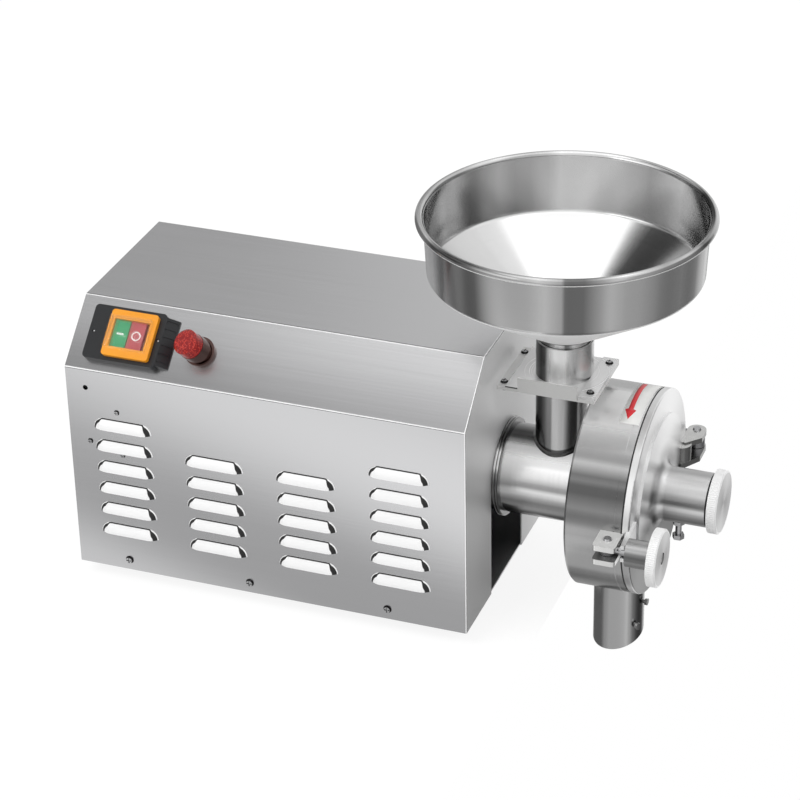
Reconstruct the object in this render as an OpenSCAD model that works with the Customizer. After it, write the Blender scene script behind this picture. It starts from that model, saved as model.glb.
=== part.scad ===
/* [Casing] */
// Length of the casing from its left end to its right end
casing_l = 400; // [385:1:430]
// Depth of the casing from front to back
casing_d = 222; // [215:1:240]
// Height of the casing from its lower edge to its top
casing_h = 267; // [255:1:285]
// Height of the upright front wall, up to the slope
front_h = 217; // [205:1:225]
// Distance that the slope sets the top edge back
slope_back = 55; // [45:1:65]
// Thickness of the casing sheet
sheet_t = 1.2; // [0.8:0.1:2]
// Outer radius of the casing's bends
bend_r = 3; // [2:0.5:5]
// Height of a rubber foot
foot_h = 16; // [10:1:18]
// Radius of a rubber foot at its top
foot_r = 13; // [10:0.5:16]
// Distance from the casing's edges to the middle of a foot
foot_inset = 46; // [40:1:60]

/* [Louvres] */
// Length of a louvre's flat stretch, without its round ends
louvre_l = 38; // [30:1:44]
// Height of a louvre's opening
louvre_h = 11; // [8:0.5:12]
// How far a louvre stands out of the front
louvre_out = 5; // [3:0.5:6]
// Distance between louvre rows
louvre_pitch = 23.2; // [20:0.2:25]
// Distance between louvre columns
louvre_gap = 93; // [85:1:98]
// Height of the lowest louvre row
louvre_z = 40; // [34:1:46]
// Place of the first louvre column
louvre_x = 56; // [50:1:62]

/* [Mill] */
// Distance from the casing's front to the mill's axis
mill_y = 118; // [112:0.5:122]
// Height of the mill's axis above the casing's lower edge
mill_z = 117.4; // [112:0.2:122]
// Outer radius of the feed barrel
barrel_r = 43; // [41:0.5:45]
// Wall of the feed barrel
barrel_wall = 3.5; // [2.5:0.1:4]
// Clearance round the barrel in the casing's slot
slot_clear = 3; // [2:0.5:5]
// Length of the barrel outside the casing
barrel_out = 86.7; // [82:0.5:95]
// Outer radius of the grinding drum
drum_r = 97.5; // [94:0.5:102]
// Wall of the grinding drum
drum_wall = 4; // [3:0.5:5]
// Length of the grinding drum along the axis
drum_l = 54.2; // [52:0.2:58]
// Thickness of the cover's disc
cover_t = 6.5; // [5:0.5:8]
// Outer radius of the cover's boss
boss_r = 25.8; // [24:0.2:28]
// Length of the boss in front of the cover's disc
boss_l = 51; // [46:0.5:56]
// Radius of the adjusting knob
knob_r = 30.3; // [28:0.5:34]
// Thickness of the adjusting knob
knob_t = 9.5; // [7:0.5:12]
// Radius of the grinding discs
disc_r = 72; // [66:1:76]
// Gap between the grinding discs at rest
disc_gap = 1; // [0.8:0.1:1.5]
// Coarse ribs on each grinding disc
coarse_ribs = 18; // [12:1:20]
// Fine ribs on each grinding disc
fine_ribs = 40; // [30:1:44]

/* [Feed and discharge] */
// Distance from the casing's right end to the inlet tube's axis
inlet_out = 54.2; // [52:0.2:60]
// Outer radius of the inlet tube
inlet_r = 24.5; // [23:0.25:25.5]
// Wall of the inlet tube, the collar and the spout
tube_wall = 2; // [1.5:0.1:2.5]
// Height of the gate's lower plate above the mill's axis
gate_z = 107; // [103:0.5:111]
// Width of the gate across the slide
gate_w = 93; // [89:0.5:96]
// Depth of the gate along the slide
gate_d = 80; // [78:0.5:86]
// Thickness of the gate's plates
gate_t = 1.4; // [1:0.1:2]
// Width of the sliding plate
slide_w = 56.8; // [52:0.2:60]
// Thickness of the sliding plate
slide_t = 1.4; // [1:0.1:1.6]
// Outer radius of the hopper's collar
collar_r = 26.8; // [26:0.1:28]
// Height of the hopper's collar
collar_h = 36; // [32:0.5:42]
// Outer radius of the hopper pan at the foot of its wall
pan_r = 126.5; // [120:0.5:134]
// Height of the hopper pan's wall
pan_h = 55.5; // [48:0.5:60]
// Height of the hopper's cone
cone_h = 64; // [56:0.5:72]
// Thickness of the hopper's sheet
pan_t = 1; // [0.8:0.1:1.5]
// Gap between the hopper's neck and its collar
neck_fit = 0.6; // [0.4:0.1:1.5]
// Radius of the hopper's rolled rim
rim_r = 3.7; // [2.5:0.1:4]
// Outer radius of the discharge spout
spout_r = 24.3; // [23:0.1:25]
// How far the spout's lowest point lies under the casing's lower edge
spout_drop = 54; // [45:0.5:60]
// Tilt of the cut at the spout's end, in degrees
spout_cut = 20; // [0:1:25]

/* [Clamp and hinge] */
// Distance from the drum's side to the swing bolt
clamp_off = 13.5; // [12:0.5:15]
// Radius of the swing bolt
bolt_r = 4; // [3.5:0.1:4.5]
// Radius of the clamp knob
clamp_knob_r = 27; // [24:0.5:31]
// Thickness of the clamp knob's disc
clamp_knob_t = 9; // [8:0.5:12]
// Thickness of the clamp's and the hinge's plates
ear_t = 5.3; // [4:0.1:6]
// Distance between the clamp's plates
clamp_gap = 9; // [8.8:0.1:11]
// Distance between the hinge's plates
hinge_gap = 12; // [11:0.5:14]
// Radius of the hinge pin and of the clamp pin
pin_r = 3; // [2.5:0.1:3.5]

/* [Switch] */
// Width of the switch's base, without its sloping flank
switch_w = 74; // [70:1:78]
// Height of the switch's base along the slope
switch_h = 54; // [52:1:58]
// Depth of the switch's base
switch_t = 9; // [7:0.5:11]
// Travel of a push button
button_travel = 2; // [1.5:0.1:2.5]
// Radius of the lamp's lens
lamp_r = 12.5; // [11:0.5:14]

/* [Hidden] */
$fn = 64;
steel = "#c9cbce";
dark_steel = "#7d8083";
black = "#1b1b1d";
rubber = "#2a2a2c";
iron = "#5b5e61";
paint = "#3c5a78";
copper = "#b5713a";
orange = "#f0a01e";
green = "#2f9a5a";
red = "#c0303a";

// Clearance of a running fit, on the radius
run_fit = 0.05;
// Gap between pieces that seat on each other with no fit
seat_gap = 0.1;
// Small overlap that lets a cut reach past a face
over = 1;

slope_a = atan2(casing_h - front_h, slope_back);
slope_l = norm([slope_back, casing_h - front_h]);
slot_r = barrel_r + slot_clear;

barrel_bore = barrel_r - barrel_wall;
drum_x = casing_l + barrel_out;
drum_end = drum_x + drum_l;
drum_bore = drum_r - drum_wall;
gasket_t = 1.4;
cover_x = drum_end + gasket_t + seat_gap;
cover_face = cover_x + cover_t;
cover_r = drum_r + 0.2;
step_r = 75;
step_t = 3;
boss_end = cover_face + boss_l;
boss_seal_t = 2.4;
boss_seal_r = boss_r - 1.4;
knob_x = boss_end + boss_seal_t + 2 * seat_gap;
knob_face = knob_x + knob_t;

inlet_x = casing_l + inlet_out;
collar_x = inlet_x + 2.3;
gate_x = inlet_x - 2.7;
gate_y = mill_y - 3.5;
slide_x = inlet_x - 0.6;
gate_base_z = mill_z + gate_z;
rail_t = slide_t + 0.3;
gate_top_z = gate_base_z + gate_t + rail_t;
collar_z = gate_top_z + gate_t;
collar_top = collar_z + collar_h;
lip_y = gate_y - gate_d / 2 - slide_t - seat_gap;
lip_h = 14;
neck_r = collar_r - tube_wall - neck_fit;
slide_back = mill_y + inlet_r + 1.5;
neck_z = collar_z + seat_gap;
cone_z = collar_top + 4;
pan_z = cone_z + cone_h;
rim_z = pan_z + pan_h;
wall_flare = 3.1;
pan_fillet = 6;
rim_out = pan_r + wall_flare - pan_t / 2 + 2 * rim_r;

spout_x = drum_x + drum_l / 2;
spout_turn = 29;

hinge_x = cover_face + 9;
hinge_y = mill_y + drum_r + 7;
clamp_y = mill_y - drum_r - clamp_off;
clamp_pin_x = drum_end - 8;

// Places along the drive line
cowl_x = 66;
cowl_l = 52;
shield_t = 14;
fan_shield_x = cowl_x + cowl_l - 10;
frame_x = fan_shield_x + shield_t;
frame_l = 158;
drive_shield_x = frame_x + frame_l;
flange_x = drive_shield_x + 26;
flange_t = 8;
flange_r = 62;
frame_r = 72;
frame_wall = 8;
fin_h = 7;
stator_r = frame_r - frame_wall;
rotor_r = 37;
air_gap = 0.8;
shaft_r = 12;
fan_bearing_r = 23.5;
drive_bearing_r = 26;
bearing_w = 14;
seal_x = casing_l + 14;
auger_x = seal_x + 10;
disc_x = drum_x + drum_wall + 6;
disc_plate_t = 8;
rib_h = 5;
fixed_x = disc_x + disc_plate_t + 2 * rib_h + disc_gap;
carrier_x = fixed_x + disc_plate_t;
carrier_r = 18;
carrier_flange_t = 4;
stem_r = 8;
adjust_in = 0.5;
adjust_out = 3;
cap_t = 4;
stem_ring_t = 4;
carrier_end = boss_end - cap_t - stem_ring_t - adjust_out - 3;
lock_x = cover_face + 21;
lock_r = 3;
key_depth = 3;

// Places of the fasteners and fittings on the casing
screw_xs = [53, 180, casing_l - 79];
screw_z = 11;
small_screws = [[51, 175], [21, 139], [54, 129]];
tray_t = 2;
tray_flange_h = 24;
gland_x = 60;
gland_z = 70;
gland_r = 8;
foot_screw_r = 2.5;

// Places of the switch and the lamp on the slope
switch_mid_x = 55;
switch_mid_s = slope_l / 2 - 0.9;
flap_x = switch_mid_x + 7;
button_x = switch_mid_x + 4.5;
lamp_x = 130.5;
lamp_s = slope_l / 2 - 2.7;
lamp_neck_r = 11;
lamp_tilt = 15;
lamp_body_l = 16;
lamp_lens_l = 14;
frame_w = 47.5;
frame_h = 46;
frame_t = 5;
button_w = 15.4;
button_h = 27.4;
body_w = 44;
body_h = 28;

// Middle of the whole mill along its length
mid_x = knob_face / 2;
// Middle of the whole mill along its depth, between the hopper's rim and the clamp knob
mid_y = mill_y + (rim_out - max(rim_out, mill_y - clamp_y + clamp_knob_r)) / 2;

// Moves a shape drawn from the casing's lower front left corner into the mill's own frame
module placed() translate([-mid_x, -mid_y, spout_drop]) children();

// Turns a shape drawn round +Z at the origin so that it lies along the mill's axis, from x on
module on_axis(x) translate([x, mill_y, mill_z]) rotate([0, 90, 0]) children();

// A ring or disc from x along the mill's axis
module axis_ring(x, l, r, bore = 0) on_axis(x) difference() {
    cylinder(h = l, r = r);
    if (bore > 0) translate([0, 0, -over]) cylinder(h = l + 2 * over, r = bore);
}

// Extrudes an outline given as (y, z) along X
module along_x(l) rotate([90, 0, 90]) linear_extrude(l) children();

// Places a shape on the slope, x along the casing, s up the slope, with +Z out of the sheet
module on_slope(x, s) translate([x, 0, front_h]) rotate([slope_a, 0, 0]) translate([0, s, 0]) children();

// Points of a rounded corner, and of an outline with every corner rounded to the same radius
function unit(v) = v / norm(v);
function corner_arc(before, p, after, r, steps = 5) = let (
    a = unit(before - p),
    b = unit(after - p),
    half = acos(a * b) / 2,
    middle = p + unit(a + b) * r / sin(half),
    from = p + a * r / tan(half) - middle,
    to = p + b * r / tan(half) - middle,
    start = atan2(from.y, from.x),
    swing = atan2(from.x * to.y - from.y * to.x, from * to)
) [for (k = [0 : steps]) middle + r * [cos(start + swing * k / steps), sin(start + swing * k / steps)]];
function rounded(pts, r, steps = 5) = [
    for (i = [0 : len(pts) - 1])
        for (q = corner_arc(pts[(i + len(pts) - 1) % len(pts)], pts[i], pts[(i + 1) % len(pts)], r, steps)) q
];

// Outline of the casing's end, drawn in by t from the outside
function end_outline(t) = [
    [t, 0],
    [t, front_h - t * (1 - sin(slope_a)) / cos(slope_a)],
    [slope_back + t * (1 - cos(slope_a)) / sin(slope_a), casing_h - t],
    [casing_d - t, casing_h - t],
    [casing_d - t, 0]
];

module end_shape(t, r) difference() {
    polygon(rounded(concat([[end_outline(t)[0].x, -4 * bend_r]], [for (i = [1 : 3]) end_outline(t)[i]],
        [[end_outline(t)[4].x, -4 * bend_r]]), r));
    translate([-over, -5 * bend_r]) square([casing_d + 2 * over, 5 * bend_r]);
}

// A capsule lying along X, its middle on the origin
module capsule(l, r) {
    rotate([0, 90, 0]) cylinder(h = l, r = r, center = true);
    for (side = [-1, 1]) translate([side * l / 2, 0, 0]) sphere(r = r);
}

louvre_big_r = (louvre_out * louvre_out + louvre_h * louvre_h) / (2 * louvre_out);
louvre_sink = louvre_big_r - louvre_out;

module at_louvres() for (column = [0 : 3])
    for (row = [0 : (column == 0 || column == 3) ? 5 : 4])
        translate([louvre_x + column * louvre_gap, louvre_sink, louvre_z + row * louvre_pitch]) children();

module upper_half(reach) translate([-louvre_l - reach, -reach, 0]) cube([2 * (louvre_l + reach), 2 * reach, reach]);

// One louvre's hood, open at its lower side
module louvre_hood() intersection() {
    difference() {
        capsule(louvre_l, louvre_big_r);
        capsule(louvre_l, louvre_big_r - sheet_t);
    }
    translate([-louvre_l - louvre_big_r, -2 * louvre_big_r, 0])
        cube([2 * (louvre_l + louvre_big_r), 2 * louvre_big_r - louvre_sink + sheet_t, 2 * louvre_big_r]);
}

// Top of the flat front, where the bend to the slope starts
front_top = front_h - bend_r * tan((90 - slope_a) / 2);

module casing_wrap() color(steel) placed() difference() {
    along_x(casing_l) difference() {
        end_shape(0, bend_r);
        end_shape(sheet_t, bend_r - sheet_t);
        translate([-over, -over]) square([sheet_t + 2 * over, front_top + over]);
        translate([sheet_t, -over]) square([casing_d - 2 * sheet_t, 3 * over]);
    }
    at_casing_screws() cylinder(h = 3 * sheet_t, r = 2.2, center = true);
    on_slope(button_x, switch_mid_s) translate([-body_w / 2 - over, -body_h / 2 - over, -4])
        cube([body_w + 2 * over, body_h + 2 * over, 8]);
    on_slope(lamp_x, lamp_s) cylinder(h = 8, r = lamp_neck_r + 0.3, center = true);
    at_gland() cylinder(h = 8, r = gland_r + 0.2, center = true);
}

// The louvred front sheet
module front_panel() color(steel) placed() {
    difference() {
        cube([casing_l, sheet_t, front_top]);
        at_louvres() intersection() {
            capsule(louvre_l, louvre_big_r - sheet_t);
            upper_half(3 * louvre_big_r);
        }
        translate([20, -over, 197]) rotate([-90, 0, 0]) cylinder(h = 2 * over + sheet_t, r = 2.6);
        at_casing_screws() cylinder(h = 3 * sheet_t, r = 2.2, center = true);
        at_small_screws() cylinder(h = 3 * sheet_t, r = 1.7, center = true);
    }
    at_louvres() louvre_hood();
}

module at_casing_screws() for (x = screw_xs)
    for (y = [0, casing_d]) translate([x, y, screw_z]) rotate([90, 0, 0]) children();

module at_small_screws() for (p = small_screws) translate([p.x, 0, p.y]) rotate([90, 0, 0]) children();

module at_gland() translate([gland_x, casing_d, gland_z]) rotate([-90, 0, 0]) children();

module at_feet() for (x = [foot_inset, casing_l - foot_inset])
    for (y = [foot_inset, casing_d - foot_inset]) translate([x, y, 0]) children();

// A pan head on the plane z = 0, its shank going down
module pan_screw(head_r, head_h, shank_r, shank_l) {
    difference() {
        cylinder(h = head_h, r1 = head_r, r2 = head_r * 0.72);
        for (a = [0, 90]) rotate([0, 0, a]) translate([0, 0, head_h * 1.05])
            cube([1.3 * head_r, head_r * 0.28, head_h], center = true);
    }
    translate([0, 0, -shank_l]) cylinder(h = shank_l + head_h * 0.2, r = shank_r);
}

// A hexagon nut or bolt head standing on the plane z = 0
module hexagon(across, h, bore = 0) difference() {
    cylinder(h = h, r = across / sqrt(3), $fn = 6);
    if (bore > 0) translate([0, 0, -over]) cylinder(h = h + 2 * over, r = bore);
}

// Both end panels, the right one with a slot round the barrel
module end_panels() color(steel) placed() {
    along_x(sheet_t) end_shape(sheet_t, bend_r - sheet_t);
    difference() {
        translate([casing_l - sheet_t, 0, 0]) along_x(sheet_t) end_shape(sheet_t, bend_r - sheet_t);
        axis_ring(casing_l - 3 * sheet_t, 6 * sheet_t, slot_r);
        translate([casing_l - 3 * sheet_t, mill_y - slot_r, -over]) cube([6 * sheet_t, 2 * slot_r, mill_z + over]);
    }
}

module base_tray() color(dark_steel) placed() difference() {
    translate([sheet_t + 0.2, sheet_t + seat_gap, 0])
        cube([casing_l - 2 * sheet_t - 0.4, casing_d - 2 * (sheet_t + seat_gap), tray_flange_h]);
    translate([-over, sheet_t + seat_gap + tray_t, tray_t])
        cube([casing_l + 2 * over, casing_d - 2 * (sheet_t + seat_gap + tray_t), tray_flange_h]);
    at_casing_screws() cylinder(h = 12, r = 2.05, center = true);
    at_feet() cylinder(h = 8, r = foot_screw_r + 0.2, center = true);
    at_motor_bolts() cylinder(h = 8, r = 4.3, center = true);
}

// Pan head screws of the casing's foot and front, and of the gate
module pan_screws() color(steel) placed() {
    for (x = screw_xs) {
        translate([x, 0, screw_z]) rotate([90, 0, 0]) pan_screw(4.2, 2.2, 2, 7);
        translate([x, casing_d, screw_z]) rotate([-90, 0, 0]) pan_screw(4.2, 2.2, 2, 7);
    }
    at_small_screws() pan_screw(2.8, 1.6, 1.5, 5);
    at_gate_screws(left_screw_x, gate_top_z) stack_screw(gate_top_z - gate_base_z);
    at_gate_screws(right_screw_x, collar_z + gate_t) stack_screw(collar_z + gate_t - gate_base_z);
}

module rubber_feet() color(rubber) placed() at_feet() difference() {
    translate([0, 0, -foot_h]) cylinder(h = foot_h, r1 = foot_r - 2, r2 = foot_r);
    translate([0, 0, -foot_h - over]) cylinder(h = foot_h + 2 * over, r = foot_screw_r + 0.2);
    translate([0, 0, -foot_h - over]) cylinder(h = foot_h / 2 + over, r = 6.5);
}

// Motor feet
motor_foot_w = 64;
motor_foot_l = 22;
motor_pad_t = 8;
motor_bolt_y = 52;
module at_motor_bolts() for (x = [frame_x + 26, frame_x + frame_l - 26])
    for (side = [-1, 1]) translate([x, mill_y + side * motor_bolt_y, 0]) children();

module motor_frame() color(paint) placed() on_axis(frame_x) linear_extrude(frame_l) difference() {
    union() {
        circle(r = frame_r, $fn = 96);
        for (k = [-13 : 13]) rotate([0, 0, 180 + k * 9]) translate([frame_r - 2, -1.2]) square([fin_h + 2, 2.4]);
    }
    circle(r = stator_r, $fn = 96);
}

// The two saddles under the motor
module motor_feet() color(paint) placed() difference() {
    for (x = [frame_x + 26, frame_x + frame_l - 26]) translate([x - motor_foot_l / 2, 0, 0])
        along_x(motor_foot_l) polygon([
            [mill_y - motor_foot_w, tray_t], [mill_y + motor_foot_w, tray_t],
            [mill_y + motor_foot_w, tray_t + motor_pad_t],
            [mill_y + 40, tray_t + motor_pad_t], [mill_y + 40, mill_z - frame_r * 0.7],
            [mill_y - 40, mill_z - frame_r * 0.7], [mill_y - 40, tray_t + motor_pad_t],
            [mill_y - motor_foot_w, tray_t + motor_pad_t]
        ]);
    axis_ring(frame_x, frame_l, frame_r);
    at_motor_bolts() cylinder(h = 40, r = 4.3, center = true);
}

stator_in = 34;
winding_in = 14;
module stator_core() color(iron) placed()
    axis_ring(frame_x + stator_in, frame_l - 2 * stator_in, stator_r - run_fit, rotor_r + air_gap);

module windings() color(copper) placed() for (x = [frame_x + winding_in, frame_x + frame_l - stator_in])
    axis_ring(x, stator_in - winding_in, stator_r - 5, rotor_r + 6);

module fan_end_shield() color(paint) placed() {
    axis_ring(fan_shield_x, 4, frame_r + 2, 12);
    axis_ring(fan_shield_x + 4, shield_t - 4, frame_r + 2, fan_bearing_r + run_fit);
}

module drive_end_shield() color(paint) placed() difference() {
    union() {
        axis_ring(drive_shield_x, 12, frame_r + 2, drive_bearing_r + run_fit);
        axis_ring(drive_shield_x + 12, flange_x - drive_shield_x - 12, flange_r, drive_bearing_r + run_fit);
        axis_ring(flange_x - 4, 4, flange_r, 15);
    }
    at_flange_bolts() translate([0, 0, -20]) cylinder(h = 30, r = 4.05);
}

module at_flange_bolts() on_axis(flange_x) for (k = [0 : 3]) rotate([0, 0, 45 + 90 * k])
    translate([flange_r - 11, 0, 0]) children();

module bearings() color(steel) placed() {
    axis_ring(frame_x - bearing_w + 4, bearing_w - 4, fan_bearing_r, 10 + run_fit);
    axis_ring(flange_x - 4 - bearing_w - run_fit, bearing_w, drive_bearing_r, 12.5 + run_fit);
}

module rotor_core() color(iron) placed() {
    axis_ring(frame_x + stator_in, frame_l - 2 * stator_in, rotor_r, 17 + run_fit);
    for (x = [frame_x + stator_in - 6, frame_x + frame_l - stator_in]) axis_ring(x, 6, rotor_r - 3, 17 + run_fit);
}

module main_shaft() color(steel) placed() {
    axis_ring(cowl_x + 12, fan_shield_x - cowl_x - 12, 8);
    axis_ring(fan_shield_x, shield_t + 6, 10);
    axis_ring(frame_x + 6, frame_l - 12, 17);
    axis_ring(drive_shield_x - 6, flange_x - drive_shield_x + 6, 12.5);
    axis_ring(flange_x, disc_x - flange_x, shaft_r);
    axis_ring(disc_x, disc_plate_t, 11);
    axis_ring(disc_x + disc_plate_t, 8, 6);
}

module cooling_fan() color(black) placed() on_axis(cowl_x + 14) {
    difference() {
        cylinder(h = 18, r = 14);
        translate([0, 0, -over]) cylinder(h = 20, r = 8 + run_fit);
    }
    for (k = [0 : 7]) rotate([0, 0, 45 * k]) translate([13, -1.25, 2]) cube([49, 2.5, 14]);
}

module fan_cowl() color(paint) placed() difference() {
    axis_ring(cowl_x, cowl_l, frame_r + 3.5);
    axis_ring(cowl_x + 1.5, cowl_l, frame_r + 2 + run_fit);
    on_axis(cowl_x - over) for (ring = [1 : 3]) for (k = [0 : 6 * ring - 1])
        rotate([0, 0, 60 * k / ring]) translate([18 * ring, 0, 0]) cylinder(h = 4, r = 6, $fn = 24);
}

// Bolts of the motor's flange and feet, and the screws of the rubber feet
module base_bolts() color(dark_steel) placed() {
    at_feet() {
        translate([0, 0, -foot_h / 2]) rotate([180, 0, 0]) pan_screw(5, 2.6, foot_screw_r, foot_h / 2 + tray_t + 6);
        translate([0, 0, tray_t]) hexagon(8, 4, foot_screw_r + run_fit);
    }
    at_flange_bolts() translate([0, 0, flange_t]) {
        hexagon(13, 5.3);
        translate([0, 0, -26]) cylinder(h = 26, r = 4);
    }
    at_motor_bolts() translate([0, 0, tray_t + motor_pad_t]) {
        hexagon(13, 5.3);
        translate([0, 0, -18]) cylinder(h = 18, r = 4);
        translate([0, 0, -tray_t - motor_pad_t - 6.5]) hexagon(13, 6.4, 4 + run_fit);
    }
}

capacitor_l = 82;
capacitor_r = 20;
saddle_l = 40;
saddle_w = 28;
module start_capacitor() color(black) placed() translate([30, casing_d - 30, tray_t + capacitor_r + 5]) {
    rotate([0, 90, 0]) cylinder(h = capacitor_l, r = capacitor_r);
    translate([(capacitor_l - saddle_l) / 2, -saddle_w / 2, -capacitor_r - 5])
        cube([saddle_l, saddle_w, saddle_w / 2]);
    for (y = [-6, 6]) translate([-5, y - 3, -0.4]) cube([6, 6, 0.8]);
}

module cable_gland() color(black) placed() at_gland() difference() {
    union() {
        translate([0, 0, -12]) cylinder(h = 16, r = gland_r);
        translate([0, 0, -sheet_t - 5]) hexagon(22, 5);
        hexagon(22, 6);
        translate([0, 0, 6]) cylinder(h = 10, r = 10.5);
        translate([0, 0, 16]) cylinder(h = 5, r1 = 10.5, r2 = 7);
    }
    translate([0, 0, -13]) cylinder(h = 40, r = 4.5);
}

module barrel() color(steel) placed() difference() {
    axis_ring(flange_x, drum_x - flange_x, barrel_r, barrel_bore);
    translate([inlet_x, mill_y, mill_z]) cylinder(h = 2 * barrel_r, r = inlet_r - tube_wall);
}

// The barrel's flange, and the plate inside it that carries the shaft seal
module barrel_plates() color(steel) placed() {
    difference() {
        axis_ring(flange_x, flange_t, flange_r, barrel_r + run_fit);
        at_flange_bolts() translate([0, 0, -over]) cylinder(h = flange_t + 2 * over, r = 4.05);
    }
    axis_ring(seal_x - 4, 4, barrel_bore - run_fit, shaft_r + 3);
}

// The wall inside the barrel that carries the shaft seal
module inlet_tube() color(steel) placed() {
    difference() {
        translate([inlet_x, mill_y, mill_z]) cylinder(h = gate_z, r = inlet_r);
        translate([inlet_x, mill_y, mill_z - over]) cylinder(h = gate_z + 2 * over, r = inlet_r - tube_wall);
        axis_ring(inlet_x - 2 * inlet_r, 4 * inlet_r, barrel_r);
    }
    intersection() {
        difference() {
            translate([inlet_x, mill_y, mill_z]) cylinder(h = gate_z, r = inlet_r + 2);
            translate([inlet_x, mill_y, mill_z - over]) cylinder(h = gate_z, r = inlet_r - 0.5);
        }
        axis_ring(inlet_x - 2 * inlet_r, 4 * inlet_r, barrel_r + 1.6, barrel_r);
    }
}

ring_l = 6;
bead_r = 1.6;
module barrel_ring() color(steel) placed() on_axis(casing_l + 0.3) rotate_extrude() {
    translate([barrel_r + run_fit, 0]) square([slot_clear + 0.6, ring_l]);
    for (z = [bead_r, ring_l - bead_r]) translate([slot_r + 0.4, z]) circle(r = bead_r, $fn = 24);
}

module shaft_seal() color(rubber) placed() axis_ring(seal_x, 8, 24, shaft_r + 0.3);

auger_l = disc_x - auger_x - 3;
flight_r = barrel_bore - 2.5;
module auger() color(steel) placed() axis_ring(auger_x, auger_l, shaft_r + 4.5, shaft_r + run_fit);

module auger_flights() color(steel) placed() difference() {
    on_axis(auger_x) for (half = [0, 180]) rotate([0, 0, half])
        linear_extrude(height = auger_l, twist = -260, slices = 20, $fn = 8)
            translate([shaft_r + 3, -2]) square([flight_r - shaft_r - 3, 4]);
    axis_ring(auger_x - over, auger_l + 2 * over, shaft_r + 4.5);
}

module drum() color(steel) placed() difference() {
    axis_ring(drum_x + drum_wall, drum_l - drum_wall, drum_r, drum_bore);
    axis_ring(drum_end - 7, 0.9, drum_r + over, drum_r - 0.7);
    translate([spout_x, mill_y, mill_z - drum_r - over]) cylinder(h = drum_r, r = spout_r - tube_wall);
}

module drum_back() color(steel) placed() difference() {
    union() {
        on_axis(drum_x) cylinder(h = 2, r1 = drum_r - 1.6, r2 = drum_r);
        axis_ring(drum_x + 2, drum_wall - 2, drum_r);
    }
    axis_ring(drum_x - over, drum_wall + 2 * over, barrel_bore);
}

// A small stud on the spout's side, at an angle round it and a height
module spout_stud(a, z) translate([spout_x, mill_y, z]) rotate([0, 0, a]) rotate([0, 90, 0]) {
    translate([0, 0, spout_r - tube_wall / 2]) cylinder(h = tube_wall / 2 + 3, r = 2);
    translate([0, 0, spout_r + 2.5]) cylinder(h = 2.5, r = 3.4);
}

module spout() color(steel) placed() {
    difference() {
        translate([spout_x, mill_y, -spout_drop - over]) cylinder(h = mill_z + spout_drop, r = spout_r);
        translate([spout_x, mill_y, -spout_drop - 2 * over]) cylinder(h = mill_z + spout_drop + 4, r = spout_r - tube_wall);
        axis_ring(drum_x - 10, drum_l + 20, drum_r);
        translate([spout_x, mill_y, -spout_drop]) rotate([0, 0, -spout_turn]) translate([0, -spout_r, 0])
            rotate([spout_cut, 0, 0]) translate([-2 * spout_r, -spout_r, -4 * spout_r])
                cube([4 * spout_r, 6 * spout_r, 4 * spout_r]);
    }
    spout_stud(-5, -6);
    spout_stud(-33, -27);
}

// Ribs of a grinding disc, standing on the plane z = 0
coarse_in = 30;
coarse_out = 50;
module disc_ribs(lean) {
    for (k = [0 : coarse_ribs - 1]) rotate([0, 0, 360 * k / coarse_ribs]) translate([coarse_in, -2, 0])
        rotate([0, 0, lean]) cube([coarse_out - coarse_in - 1, 4, rib_h]);
    for (k = [0 : fine_ribs - 1]) rotate([0, 0, 360 * k / fine_ribs]) translate([coarse_out, -1.4, 0])
        rotate([0, 0, lean]) cube([disc_r - coarse_out - 2, 2.8, rib_h]);
}

sweeps = 3;
// The moving disc, and the blades at its edge that sweep the flour round the drum
module moving_disc() color(iron) placed() on_axis(disc_x) {
    difference() {
        union() {
            cylinder(h = disc_plate_t, r = disc_r);
            translate([0, 0, disc_plate_t - 0.5]) difference() {
                disc_ribs(12);
                translate([0, 0, -over]) cylinder(h = over + 0.4, r = disc_r);
            }
        }
        translate([0, 0, -over]) cylinder(h = 2 * disc_plate_t, r = 11 + run_fit);
        for (k = [0 : 5]) rotate([0, 0, 60 * k]) translate([22, 0, -over]) cylinder(h = 2 * disc_plate_t, r = 6.5);
    }
    difference() {
        for (k = [0 : sweeps - 1]) rotate([0, 0, 360 * k / sweeps])
            translate([disc_r - 3, -2.5, -1.5]) cube([drum_bore - disc_r - 1, 5, disc_plate_t + 1.5]);
        translate([0, 0, -2 * over]) cylinder(h = 2 * disc_plate_t, r = disc_r + seat_gap);
    }
}

module disc_nut() color(steel) placed() on_axis(disc_x + disc_plate_t + seat_gap) {
    difference() {
        cylinder(h = 1.6, r = 13);
        translate([0, 0, -over]) cylinder(h = 4, r = 6 + run_fit);
    }
    translate([0, 0, 1.6 + run_fit]) hexagon(16, 5, 6 + run_fit);
}

screw_ring = 33;
module at_disc_screws() for (k = [0 : 2]) rotate([0, 0, 120 * k]) translate([screw_ring, 0, 0]) children();

module fixed_disc() color(iron) placed() difference() {
    union() {
        axis_ring(fixed_x, disc_plate_t, disc_r, 20);
        on_axis(fixed_x) mirror([0, 0, 1]) translate([0, 0, -0.5]) disc_ribs(-12);
    }
    on_axis(carrier_x) at_disc_screws() translate([0, 0, -6]) cylinder(h = 8, r = 2.5 + run_fit);
}

module disc_carrier() color(dark_steel) placed() difference() {
    union() {
        axis_ring(carrier_x, carrier_flange_t, 42);
        axis_ring(carrier_x, carrier_end - carrier_x, carrier_r);
    }
    on_axis(carrier_x - over) at_disc_screws() cylinder(h = 8, r = 2.5 + run_fit);
    on_axis(carrier_end - 30) cylinder(h = 40, r = stem_r + run_fit);
    translate([lock_x - 8, mill_y - 4, mill_z - carrier_r - over]) cube([16, 8, key_depth + over]);
}

module disc_screws() color(dark_steel) placed() on_axis(carrier_x + carrier_flange_t) at_disc_screws()
    pan_screw(4.6, 2.8, 2.5, carrier_flange_t + 4);

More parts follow.
